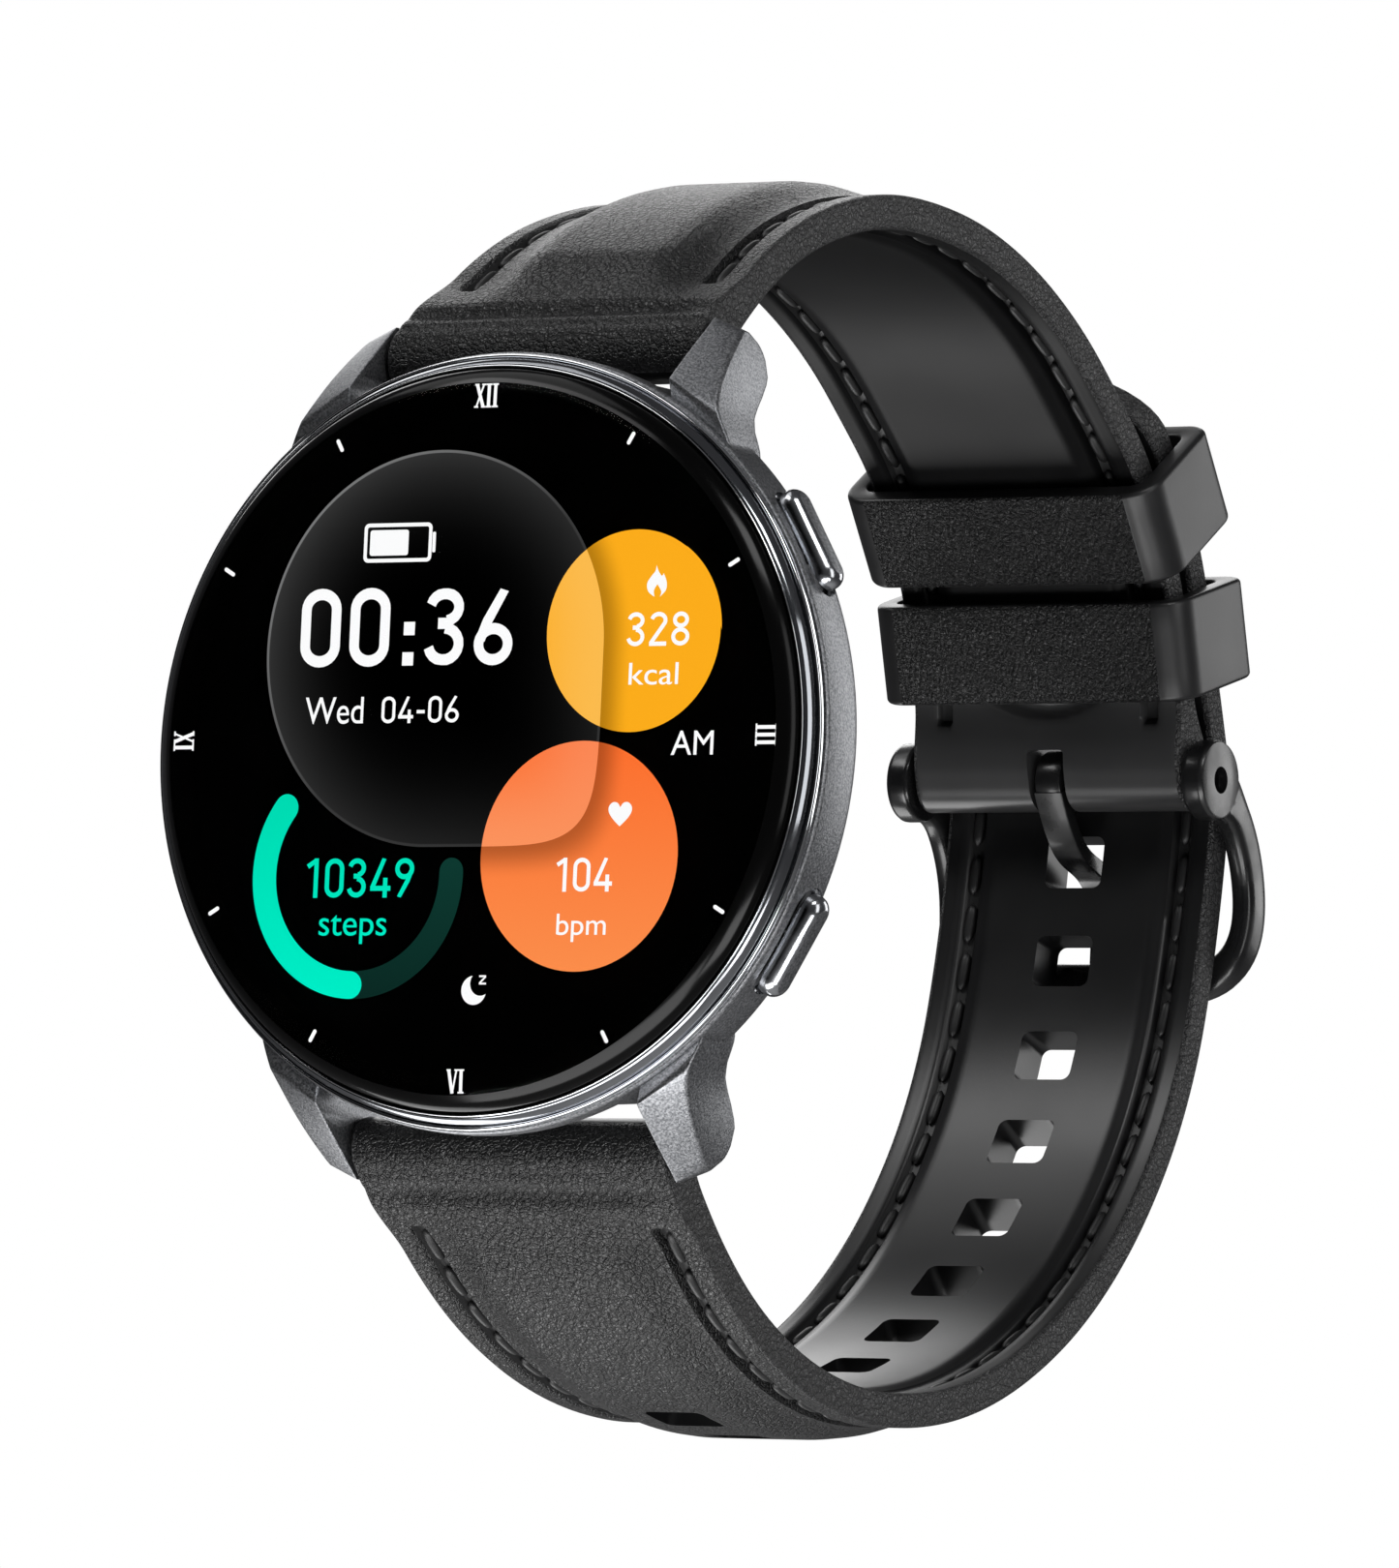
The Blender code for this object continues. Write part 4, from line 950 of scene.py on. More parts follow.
glass_line = [(0, Y0 - 0.55), (10.0, Y0 - 0.55), (17.6, Y0 - 0.55), (17.9, Y0 - 0.55)]
for k in range(45):
    t = math.sin(math.pi / 2 * k / 44)
    glass_line.append((18.2 + 3.56 * t, Y0 - 0.55 + 1.55 * (1.0 - max(1.0 - t ** 2.6, 0.0) ** 0.588)))
glass_line += [(21.76, Y0 + 1.6), (20.92, Y0 + 1.6), (20.92, Y0 + 0.10), (20.5, Y0 + 0.10),
               (10.0, Y0 + 0.10), (0, Y0 + 0.10)]
glass = lathe("cover_glass_dome", glass_line, [glass_look.mat, glass_rim.mat, glass_edge.mat], 256, sharp=30,
              index=[1 if glass_line[n][0] > 20.8 and glass_line[n + 1][0] > 20.8
                     else 2 if 18.2 < glass_line[n + 1][0] and n < 60 and glass_line[n][1] < Y0 + 0.09
                     else 0 for n in range(len(glass_line) - 1)])
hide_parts("cover_glass")
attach(glass, "case")

# black print on the back of the glass, a closed ring that hides the glue
ink = satin("border_print", (0.0004, 0.0004, 0.0004), (0.0008, 0.0008, 0.0008), 0.6, 0.1)
ink.node_tree.nodes["Principled BSDF"].inputs["Specular IOR Level"].default_value = 0.0
border = lathe("border_print", [(19.3, Y0 + 0.245), (20.86, Y0 + 0.245), (20.86, Y0 + 0.275),
                                 (19.3, Y0 + 0.275)], [ink], 192, closed=True)
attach(border, "case")


# ===================================================================== display
LAYER = {"disc": 0.24, "dial": 0.22, "mark": 0.20}


def lit(name, colour, strength=1.03, fade=None):
    """A lit area of the display. fade is (z low, z high, colour low, colour high)."""
    m = Look(name, (0.0, 0.0, 0.0), 0.5)
    m.p.inputs["Emission Strength"].default_value = strength
    m.p.inputs["Specular IOR Level"].default_value = 0.0
    sep = m.t.nodes.new("ShaderNodeSeparateXYZ")
    m.link(m.coord, sep.inputs[0])
    lo, hi, c0, c1 = fade or (-20, 20, colour, tuple(min(1.0, c * 1.02) for c in colour))
    unit = m.t.nodes.new("ShaderNodeMapRange")
    unit.inputs["From Min"].default_value = lo * MM
    unit.inputs["From Max"].default_value = hi * MM
    m.link(sep.outputs["Z"], unit.inputs["Value"])
    m.feed(m.ramp(unit.outputs["Result"], (0.0, c0), (1.0, c1)), "Emission Color")
    return m


def srgb(hexa):
    def one(c):
        c /= 255.0
        return c / 12.92 if c <= 0.04045 else ((c + 0.055) / 1.055) ** 2.4
    return tuple(one(int(hexa[i:i + 2], 16)) for i in (0, 2, 4))


DISC_C, DISC_R = (-2.77, 5.30), 11.62


def disc_field(m):
    """1 on the rim of the big translucent disc, less inside it: a circle whose
    lower right quarter is squared off."""
    sep = m.t.nodes.new("ShaderNodeSeparateXYZ")
    m.link(m.coord, sep.inputs[0])
    x = m.math("DIVIDE", m.math("SUBTRACT", sep.outputs["X"], DISC_C[0] * MM), DISC_R * MM)
    z = m.math("DIVIDE", m.math("SUBTRACT", sep.outputs["Z"], DISC_C[1] * MM), DISC_R * MM)
    corner = m.math("MULTIPLY", m.math("GREATER_THAN", x, 0.0), m.math("LESS_THAN", z, 0.0))
    power = m.math("ADD", 2.0, m.math("MULTIPLY", corner, 4.0))
    total = m.math("ADD", m.math("POWER", m.math("ABSOLUTE", x), power),
                   m.math("POWER", m.math("ABSOLUTE", z), power))
    return m.math("POWER", total, m.math("DIVIDE", 1.0, power)), x, z


def flat_piece(name, shapes, mat, layer):
    """Thin printed shapes facing -Y. Each is a list of loops (x, z); the first
    is the outline and the others are holes, or a strip given as quads."""
    verts, faces = [], []
    y = Y0 + LAYER[layer]
    for loops in shapes:
        loops = [[Vector((x, z, 0.0)) for x, z in loop] for loop in loops]
        flat = [p for loop in loops for p in loop]
        base = len(verts)
        n = len(flat)
        verts += [(p.x, y, p.y) for p in flat] + [(p.x, y + 0.01, p.y) for p in flat]
        for tri in tessellate_polygon(loops):
            faces.append(tuple(base + i for i in tri))
            faces.append(tuple(base + n + i for i in reversed(tri)))
        start = 0
        for loop in loops:
            m = len(loop)
            for i in range(m):
                a, b = base + start + i, base + start + (i + 1) % m
                faces.append((a, b, b + n, a + n))
            start += m
    obj = add(name, verts, faces, [mat], None, 30)
    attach(obj, "case")
    return obj


def circle(cx, cz, r, n=96):
    return [(cx + r * math.cos(2 * math.pi * k / n), cz + r * math.sin(2 * math.pi * k / n))
            for k in range(n)]


def arc(cx, cz, rx, rz, a0, a1, n=14):
    return [(cx + rx * math.cos(math.radians(a0 + (a1 - a0) * k / n)),
             cz + rz * math.sin(math.radians(a0 + (a1 - a0) * k / n))) for k in range(n + 1)]


def stroke(pts, t, closed=False, round_ends=False):
    """Outline of a line of width t."""
    pts = [Vector(p) for p in pts]
    n = len(pts)
    left, right = [], []
    for i, p in enumerate(pts):
        a = pts[(i - 1) % n] if closed or i > 0 else None
        b = pts[(i + 1) % n] if closed or i < n - 1 else None
        d1 = (p - a).normalized() if a is not None else (b - p).normalized()
        d2 = (b - p).normalized() if b is not None else d1
        n1, n2 = Vector((-d1.y, d1.x)), Vector((-d2.y, d2.x))
        m = (n1 + n2)
        m = m.normalized() if m.length > 1e-6 else n1
        m = m * (t / 2 / max(m.dot(n1), 0.4))
        left.append(tuple(p + m))
        right.append(tuple(p - m))
    if closed:
        return [left, list(reversed(right))]
    if not round_ends:
        return [left + list(reversed(right))]
    d0, d1 = (pts[1] - pts[0]).normalized(), (pts[-1] - pts[-2]).normalized()

    def cap(p, d):
        a0 = math.degrees(math.atan2(d.y, d.x))
        return arc(p.x, p.y, t / 2, t / 2, a0 + 90, a0 - 90, 12)[1:-1]

    def cap0(p, d):
        a0 = math.degrees(math.atan2(-d.y, -d.x))
        return arc(p.x, p.y, t / 2, t / 2, a0 + 90, a0 - 90, 12)[1:-1]

    return [left + cap(pts[-1], d1) + list(reversed(right)) + cap0(pts[0], d0)]


T = 0.13


def glyph(ch):
    """Strokes of a narrow sans numeral, height 1: (points, closed)."""
    if ch == "0":
        return 0.54, [(arc(.27, .735, .205, .2, 0, 180) + arc(.27, .265, .205, .2, 180, 360), True)]
    if ch == "1":
        return 0.42, [([(.03, .79), (.27, .965)], False), ([(.27, 1.0), (.27, 0.0)], False)]
    if ch == "2":
        return 0.54, [(arc(.27, .75, .195, .185, 168, -32) + [(.065, .085)], False),
                      ([(.02, .065), (.51, .065)], False)]
    if ch == "3":
        return 0.54, [(arc(.255, .755, .19, .18, 168, -78), False),
                      (arc(.255, .275, .205, .21, 86, -168), False), ([(.17, .545), (.3, .545)], False)]
    if ch == "4":
        return 0.58, [([(.37, 1.0), (.055, .235)], False), ([(.01, .235), (.57, .235)], False),
                      ([(.42, .5), (.42, 0.0)], False)]
    if ch == "6":
        return 0.54, [(arc(.27, .27, .205, .205, 0, 345, 28), True), ([(.085, .33), (.175, .57), (.40, 1.0)], False)]
    if ch == "9":
        w, st = glyph("6")
        return w, [([(w - x, 1 - z) for x, z in pts], c) for pts, c in st]
    if ch == "8":
        return 0.54, [(arc(.27, .76, .175, .175, 0, 345, 28), True), (arc(.27, .27, .205, .205, 0, 345, 28), True)]
    if ch == "-":
        return 0.34, [([(.02, .42), (.32, .42)], False)]
    if ch == ":":
        return 0.24, [([(.12, .50), (.12, .66)], False), ([(.12, .0), (.12, .16)], False)]
    return 0.3, []


def digits(text, x0, x1, z0, z1, weight=T, gap=0.10):
    """Numerals that fill a box in the dial's plane."""
    spans, at = [], 0.0
    for ch in text:
        w, st = glyph(ch)
        spans.append((at, st, ch))
        at += w + gap
    at -= gap
    sx, sz = (x1 - x0) / at, z1 - z0
    shapes = []
    for off, st, ch in spans:
        wide = weight * (1.35 if ch == ":" else 1.0)
        for pts, closed in st:
            loops = stroke([((x + off) * sx, z * sz) for x, z in pts], wide * sz, closed)
            if not closed and ch not in "-:":
                # flat ends stay inside the numeral's height
                loops = [[(x, min(max(z, 0.0), sz)) for x, z in loop] for loop in loops]
            shapes.append([[(x + x0, z + z0) for x, z in loop] for loop in loops])
    return shapes


def words(text, x0, x1, z0, z1):
    """Plain letters from the built-in face, fitted to a box, as triangles."""
    data = bpy.data.curves.new("words", "FONT")
    data.body = text
    obj = bpy.data.objects.new("words", data)
    bpy.context.scene.collection.objects.link(obj)
    bpy.context.view_layer.update()
    mesh = bpy.data.meshes.new_from_object(obj.evaluated_get(bpy.context.evaluated_depsgraph_get()))
    xs = [v.co.x for v in mesh.vertices]
    ys = [v.co.y for v in mesh.vertices]
    lx, hx, ly, hy = min(xs), max(xs), min(ys), max(ys)
    pts = [(x0 + (v.co.x - lx) / (hx - lx) * (x1 - x0), z0 + (v.co.y - ly) / (hy - ly) * (z1 - z0))
           for v in mesh.vertices]
    mesh.calc_loop_triangles()
    shapes = [[[pts[i] for i in t.vertices]] for t in mesh.loop_triangles]
    bpy.data.objects.remove(obj, do_unlink=True)
    bpy.data.meshes.remove(mesh)
    bpy.data.curves.remove(data)
    return shapes


def letters(name, parts, mat, layer):
    """One thin slab per group of letter triangles, welded together."""
    verts, faces = [], []
    y = Y0 + LAYER[layer]
    for loops in parts:
        for loop in loops:
            base = len(verts)
            verts += [(x, y, z) for x, z in loop]
            faces.append(tuple(range(base, base + len(loop))))
    obj = add(name, verts, faces, [mat], None, 30)
    bm = bmesh.new()
    bm.from_mesh(obj.data)
    bmesh.ops.remove_doubles(bm, verts=bm.verts, dist=1e-7)
    geom = bmesh.ops.extrude_face_region(bm, geom=list(bm.faces))
    bmesh.ops.translate(bm, verts=[g for g in geom["geom"] if isinstance(g, bmesh.types.BMVert)],
                        vec=(0, 0.01 * MM, 0))
    bmesh.ops.recalc_face_normals(bm, faces=bm.faces)
    bm.to_mesh(obj.data)
    bm.free()
    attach(obj, "case")
    return obj


WHITE = lit("lit_white", (1.0, 1.0, 1.0)).mat
TEAL = lit("lit_teal", srgb("00E6B8"), fade=(-15, -3, srgb("00F0C8"), srgb("00DCB2"))).mat
TEAL_DIM = lit("lit_teal_dim", srgb("0A2E27"), fade=(-15, -7, srgb("0B2A24"), srgb("0E3A31"))).mat

# the big disc: a faint grey glow along its edge and a brighter upper left rim
disc = lit("lit_disc", (0, 0, 0), 1.0)
field, fx, fz = disc_field(disc)
glow = disc.math("POWER", disc.math("MINIMUM", field, 1.0), 5.0)
up_left = disc.math("ADD", 0.62, disc.math("MULTIPLY", disc.math("SUBTRACT", fz, fx), 0.22))
body = disc.math("MULTIPLY", disc.math("MULTIPLY", glow, 0.040), up_left)
rim = disc.math("MULTIPLY", disc.math("GREATER_THAN", field, 0.986), disc.math("MAXIMUM", 0.02,
                disc.math("MULTIPLY", disc.math("SUBTRACT", up_left, 0.55), 0.42)))
disc.feed(disc.math("ADD", body, rim), "Emission Color")
outline = []
for k in range(240):
    a = 2 * math.pi * k / 240
    c, s = math.cos(a), math.sin(a)
    p = 6.0 if (c > 0 and s < 0) else 2.0
    r = DISC_R / (abs(c) ** p + abs(s) ** p) ** (1 / p)
    outline.append((DISC_C[0] + r * c, DISC_C[1] + r * s))
flat_piece("display_disc", [[outline]], disc.mat, "disc")


def dial_colour(name, top, bottom, lo, hi):
    """A coloured dial: lighter where the disc lies over it, shaded just outside."""
    m = lit(name, top, fade=(lo, hi, bottom, top))
    base = m.p.inputs["Emission Color"].links[0].from_socket
    field, fx, fz = disc_field(m)
    inside = m.math("LESS_THAN", field, 1.0)
    sm = m.t.nodes.new("ShaderNodeMapRange")
    sm.interpolation_type = "SMOOTHSTEP"
    sm.inputs["From Min"].default_value = 1.0
    sm.inputs["From Max"].default_value = 1.17
    sm.inputs["To Min"].default_value = 0.50
    sm.inputs["To Max"].default_value = 1.0
    m.link(field, sm.inputs["Value"])
    dark = m.t.nodes.new("ShaderNodeVectorMath")
    dark.operation = "SCALE"
    m.link(base, dark.inputs[0])
    m.link(sm.outputs["Result"], dark.inputs["Scale"])
    near = m.t.nodes.new("ShaderNodeMapRange")
    near.interpolation_type = "SMOOTHSTEP"
    near.inputs["From Min"].default_value = 0.45
    near.inputs["From Max"].default_value = 1.0
    near.inputs["To Min"].default_value = 0.12
    near.inputs["To Max"].default_value = 1.0
    m.link(field, near.inputs["Value"])
    sheen = m.t.nodes.new("ShaderNodeVectorMath")
    sheen.operation = "SCALE"
    sheen.inputs[0].default_value = (0.0, 0.085, 0.065)
    m.link(near.outputs["Result"], sheen.inputs["Scale"])
    light = m.vec("ADD", base, sheen.outputs[0])
    mix = m.t.nodes.new("ShaderNodeMix")
    mix.data_type = "RGBA"
    m.link(inside, mix.inputs[0])
    m.link(dark.outputs[0], mix.inputs[6])
    m.link(light, mix.inputs[7])
    m.feed(mix.outputs[2], "Emission Color")
    return m.mat


flat_piece("display_yellow_dial", [[circle(10.83, 6.13, 5.88)]],
           dial_colour("lit_yellow", srgb("FFAE1C"), srgb("FFAE1C"), 0.0, 12.0), "dial")
flat_piece("display_orange_dial", [[circle(7.80, -6.91, 6.69)]],
           dial_colour("lit_orange", srgb("FF7230"), srgb("FF8F4C"), -13.6, -1.0), "dial")

# the step gauge
GC, GR = (-7.35, -7.91), 6.47
flat_piece("display_gauge_rest", [stroke(arc(GC[0], GC[1], GR, GR, -92, 1.3, 40), 1.62, False, True)],
           TEAL_DIM, "disc")
flat_piece("display_gauge", [stroke(arc(GC[0], GC[1], GR, GR, 142.5, 268.5, 60), 1.62, False, True)],
           TEAL, "dial")

white = []
white += digits("00", -12.05, -5.89, 4.30, 8.86, 0.145, 0.13)
white += digits("3", -3.42, -0.66, 4.30, 8.78, 0.145)
white += digits("6", -0.02, 2.62, 4.28, 8.72, 0.145)
white += [[[(-4.9, 6.08), (-4.14, 6.08), (-4.14, 6.86), (-4.9, 6.86)]],
          [[(-4.92, 4.30), (-4.16, 4.30), (-4.16, 5.08), (-4.92, 5.08)]]]
white += digits("04-06", -6.2, -0.82, 0.93, 2.50, 0.125)
white += digits("328", 10.39, 14.66, 5.22, 7.20, 0.125)
white += digits("104", 6.33, 10.17, -8.97, -7.0, 0.125)


def rounded(x0, x1, z0, z1, r, n=6):
    return (arc(x1 - r, z1 - r, r, r, 0, 90, n) + arc(x0 + r, z1 - r, r, r, 90, 180, n)
            + arc(x0 + r, z0 + r, r, r, 180, 270, n) + arc(x1 - r, z0 + r, r, r, 270, 360, n))


white += [[rounded(-7.94, -3.24, 10.38, 12.68, 0.32), rounded(-7.72, -3.46, 10.60, 12.46, 0.14)],
          [rounded(-3.20, -2.98, 10.92, 12.12, 0.08)],
          [rounded(-7.52, -4.86, 10.78, 12.28, 0.16)]]
# hour ticks
for hour in (1, 2, 4, 5, 7, 8, 10, 11):
    a = math.radians(90 - 30 * hour)
    white.append(stroke([(r * math.cos(a), r * math.sin(a)) for r in (19.72, 20.30)], 0.24, False, True))


def numeral(text, cx, cz, turn, height=1.40):
    """Slab-serif Roman numeral, turned about its middle."""
    out, at, thin, thick = [], 0.0, 0.10, 0.21
    for ch in text:
        if ch == "I":
            out.append(stroke([(at + .22, 0), (at + .22, height)], thick))
            out += [stroke([(at + .02, z), (at + .42, z)], thin) for z in (0.05, height - .05)]
            at += 0.44
        elif ch == "V":
            out.append(stroke([(at + .12, height - .03), (at + .40, 0)], thick))
            out.append(stroke([(at + .40, 0.0), (at + .66, height - .03)], thin * 1.1))
            out += [stroke([(at - .02, height - .05), (at + .26, height - .05)], thin),
                    stroke([(at + .52, height - .05), (at + .78, height - .05)], thin)]
            at += 0.76
        else:
            out.append(stroke([(at + .12, height - .03), (at + .60, .03)], thick))
            out.append(stroke([(at + .12, .03), (at + .60, height - .03)], thin * 1.1))
            for z in (0.05, height - .05):
                out += [stroke([(at - .02, z), (at + .26, z)], thin),
                        stroke([(at + .46, z), (at + .74, z)], thin)]
            at += 0.74
    c, s = math.cos(math.radians(turn)), math.sin(math.radians(turn))
    shapes = []
    for loops in out:
        shapes.append([[(cx + (x - at / 2) * c - (z - height / 2) * s,
                         cz + (x - at / 2) * s + (z - height / 2) * c) for x, z in loop]
                       for loop in loops])
    return shapes


white += numeral("XII", 0.0, 20.05, 0) + numeral("III", 19.98, 0.03, -90)
white += numeral("VI", 0.0, -19.95, 0) + numeral("IX", -20.0, 0.03, 90)


def blob(points, x0, x1, z0, z1, n=8):
    """A closed smooth outline through points of a unit box; a pair with a third
    value is a sharp corner."""
    pts = [Vector((p[0], p[1])) for p in points]
    sharp = [len(p) > 2 for p in points]
    out = []
    m = len(pts)
    for i in range(m):
        p0, p1, p2, p3 = pts[i - 1], pts[i], pts[(i + 1) % m], pts[(i + 2) % m]
        t1 = Vector((0, 0)) if sharp[i] else (p2 - p0) * 0.5
        t2 = Vector((0, 0)) if sharp[(i + 1) % m] else (p3 - p1) * 0.5
        for k in range(n):
            t = k / n
            h = (p1 * (2 * t ** 3 - 3 * t ** 2 + 1) + t1 * (t ** 3 - 2 * t ** 2 + t)
                 + p2 * (-2 * t ** 3 + 3 * t ** 2) + t2 * (t ** 3 - t ** 2))
            out.append((x0 + h.x * (x1 - x0), z0 + h.y * (z1 - z0)))
    return out


white.append([blob([(.44, 1.0, 1), (.56, .80), (.72, .66), (.80, .74, 1), (.96, .46), (.93, .20),
                    (.66, .0, 1), (.72, .16), (.52, .40, 1), (.36, .20), (.40, .0, 1), (.10, .16),
                    (.02, .42), (.22, .66), (.40, .82)], 11.60, 13.0, 8.08, 9.90)])
white.append([blob([(.5, .76, 1), (.62, .95), (.82, .98), (.98, .82), (.98, .58), (.80, .30),
                    (.5, .0, 1), (.20, .30), (.02, .58), (.02, .82), (.18, .98), (.38, .95)],
                   9.70, 11.28, -5.20, -3.78)])
moon = arc(1.06, -14.68, .85, .85, 98, 345.2, 26)
moon += arc(1.51, -14.28, .72, .72, 301.1, 142.1, 18)[1:-1]
white.append([moon])
white += [stroke([(1.40, -13.86), (1.86, -13.86)], .11), stroke([(1.84, -13.88), (1.43, -14.27)], .10),
          stroke([(1.40, -14.29), (1.88, -14.29)], .11)]
flat_piece("display_marks", white, WHITE, "mark")
flat_piece("display_steps_count", digits("10349", -10.87, -3.40, -9.27, -6.96, 0.125), TEAL, "mark")
letters("display_words", words("Wed", -11.49, -7.45, 0.93, 2.50)
        + words("kcal", 10.66, 14.0, 2.98, 4.26) + words("bpm", 6.51, 9.86, -11.88, -10.24)
        + words("AM", 13.73, 16.57, -1.10, 0.30), WHITE, "mark")
letters("display_steps_word", words("steps", -9.84, -5.16, -11.98, -10.28), TEAL, "mark")

# ===================================================================== keepers
def rounded_loop(x, lo, hi, c_lo, c_hi, seg=14):
    """Outline (x, n) of a rectangle with its own corner radius at each side."""
    pts = []
    for sx, n, c, a0 in ((1, hi, c_hi, 0), (-1, hi, c_hi, 90), (-1, lo, c_lo, 180), (1, lo, c_lo, 270)):
        mx = sx * (x - c)
        mn = n - c if n == hi else n + c
        for k in range(seg + 1):
            a = math.radians(a0 + 90 * k / seg)
            pts.append((mx + c * math.cos(a), mn + c * math.sin(a)))
    return pts


def keeper(name, degrees):
    a = math.radians(degrees)
    out = Vector((0.0, math.cos(a), math.sin(a)))
    up = Vector((0.0, -math.sin(a), math.cos(a)))
    base = Vector((0.0, STACK_Y, STACK_Z))
    wide, lo, hi = 11.25, 25.1 - 1.35, 31.75 + 1.35
    outer = rounded_loop(wide, lo, hi, 2.2, 1.5)
    inner = rounded_loop(9.95, 25.1, 31.75, 0.9, 0.9)
    h, r, q = 3.15, 0.32, 0.16
    wall = [(0.0, -h + r)]
    wall += [(0.0, v) for v in (-1.5, 0.0, 1.5)] + [(0.0, h - r)]
    for k in range(1, 6):
        t = math.radians(90 * k / 5)
        wall.append((r - r * math.cos(t), h - r + r * math.sin(t)))
    wall.append((1.35 - q, h))
    for k in range(1, 4):
        t = math.radians(90 * k / 3)
        wall.append((1.35 - q + q * math.sin(t), h - q + q * math.cos(t)))
    half = len(wall)
    wall += [(d, -v) for d, v in reversed(wall[half - 5:])]
    tail = [(d, -v) for d, v in reversed(wall[4:half - 5])][0:]
    wall += tail
    rings = []
    for (ox, on), (ix, inn) in zip(outer, inner):
        ring = []
        for d, v in wall:
            f = min(d / 1.35, 1.0)
            x, n = ox + (ix - ox) * f, on + (inn - on) * f
            ring.append(base + Vector((x, 0, 0)) + out * n + up * v)
        rings.append(ring)
    obj = skin(name, rings, [KEEPER, KEEPER_GRAIN], None, closed=True, sharp=40)
    for poly in obj.data.polygons:
        c = poly.center / MM - base
        if c.dot(out) < lo + 0.12 and abs(c.x) < 9.3:
            poly.material_index = 1
    return obj


for name, degrees in (("keeper_upper", 35.0), ("keeper_lower", 17.0)):
    loop = keeper(name + "_loop", degrees)
    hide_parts(name)
    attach(loop, name)

# ====================================================================== buckle
ARM_X = 10.62
BAR_HALF = 7.4
FAR = (63.0, -8.1)


def buckle_path():
    half = [Vector((ARM_X, y, z)) for y, z in
            ((PIN_Y, PIN_Z), (60.3, 3.3), (62.0, 1.6), (63.25, -0.7), (63.85, -3.0), (63.85, -4.8))]
    turn0, turn1, corner = half[-1], Vector((BAR_HALF, *FAR)), Vector((ARM_X, *FAR))
    for k in range(1, 8):
        t = k / 8.0
        half.append(turn0 * (1 - t) ** 2 + corner * 2 * t * (1 - t) + turn1 * t * t)
    half += [turn1, Vector((3.7, *FAR))]
    pts = half + [Vector((0.0, *FAR))] + [Vector((-p.x, p.y, p.z)) for p in reversed(half)]
    return smooth(pts, 0.45, 3)[0]


def sweep(name, pts, section, mats, seg=28, sharp=40):
    """Carry a changing squarish oval along a path, with no twist."""
    rings = []
    last = len(pts) - 1
    for i, p in enumerate(pts):
        run = (pts[min(i + 1, last)] - pts[max(i - 1, 0)]).normalized()
        deep = Vector((0.0, 1.0, 0.0))
        side_x = Vector((1.0, 0.0, 0.0))
        along = abs(run.x) ** 2
        d_arm = Vector((0.0, -run.z, run.y))
        d_arm = d_arm if d_arm.y > 0 else -d_arm
        deep = (d_arm.normalized() * (1 - along) + deep * along)
        deep = (deep - run * deep.dot(run)).normalized()
        wide = run.cross(deep).normalized()
        a, b, power = section(i / last, along)
        ring = []
        for k in range(seg):
            t = 2 * math.pi * k / seg
            c, s = math.cos(t), math.sin(t)
            c = math.copysign(abs(c) ** power, c)
            s = math.copysign(abs(s) ** power, s)
            ring.append(p + deep * (a * c) + wide * (b * s))
        rings.append(ring)
    return skin(name, rings, mats, None, sharp=sharp)


def frame_section(f, along):
    edge = min(f, 1 - f)
    arm = 1.22 + 0.85 * (1 - ease(edge, 0.0, 0.085))
    return arm * (1 - along) + 0.92 * along, 0.775 * (1 - along) + 1.3 * along, 0.62 + 0.12 * along


buckle = sweep("buckle_frame_gloss", buckle_path(), frame_section, [GLOSS])
for sx in (1, -1):
    boss = lathe("boss", [(0, -0.78), (2.2, -0.78), (2.38, -0.72), (2.48, -0.58), (2.5, -0.4),
                          (2.5, 0.4), (2.48, 0.58), (2.38, 0.72), (2.2, 0.78), (0, 0.78)], [GLOSS], 64)
    boss.data.transform(Matrix.Translation(Vector((ARM_X * sx, PIN_Y, PIN_Z)) * MM)
                        @ Matrix.Rotation(math.radians(-90), 4, "Z"))
    boolean(buckle, boss, "UNION")
boolean(buckle, rod("bore", 0.85, 30.0, (0, PIN_Y, PIN_Z), (1, 0, 0), [GLOSS], 40))
shade(buckle, 36)
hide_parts("buckle_frame")
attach(buckle, "buckle_frame")

tang_pts, _ = smooth([(56.75, 3.6), (57.4, 2.5), (58.6, 0.85), (59.9, -0.4), (61.0, -0.65),
                      (62.4, -0.95), (63.6, -1.75), (64.45, -3.2), (64.75, -5.0), (64.72, -7.0),
                      (64.66, -8.6), (64.55, -9.5)], 0.35)
rings = []
for i, p in enumerate(tang_pts):
    last = len(tang_pts) - 1
    run = (tang_pts[min(i + 1, last)] - tang_pts[max(i - 1, 0)]).normalized()
    out = Vector((0.0, -run.z, run.y))
    f = i / last
    w = 1.0 * (1.0 - 0.25 * ease(f, 0.93, 1.0))
    t = 0.5 * (1.0 - 0.45 * ease(f, 0.9, 1.0))
    c = 0.10
    ring = []
    for cx, cn, a0 in ((w - c, t - c, 0), (-w + c, t - c, 90), (-w + c, -t + c, 180), (w - c, -t + c, 270)):
        for k in range(5):
            a = math.radians(a0 + 22.5 * k)
            ring.append(p + Vector((cx + c * math.cos(a), 0, 0)) + out * (cn + c * math.sin(a)))
    rings.append(ring)
tang = skin("buckle_tang_gloss", rings, [GLOSS], None, sharp=40)
eye = lathe("eye", [(0, -0.9), (1.78, -0.9), (1.86, -0.86), (1.9, -0.78), (1.9, 0.78), (1.86, 0.86),
                    (1.78, 0.9), (0, 0.9)], [GLOSS], 56)
eye.data.transform(Matrix.Translation(Vector((0, PIN_Y, PIN_Z)) * MM)
                   @ Matrix.Rotation(math.radians(-90), 4, "Z"))
boolean(tang, eye, "UNION")
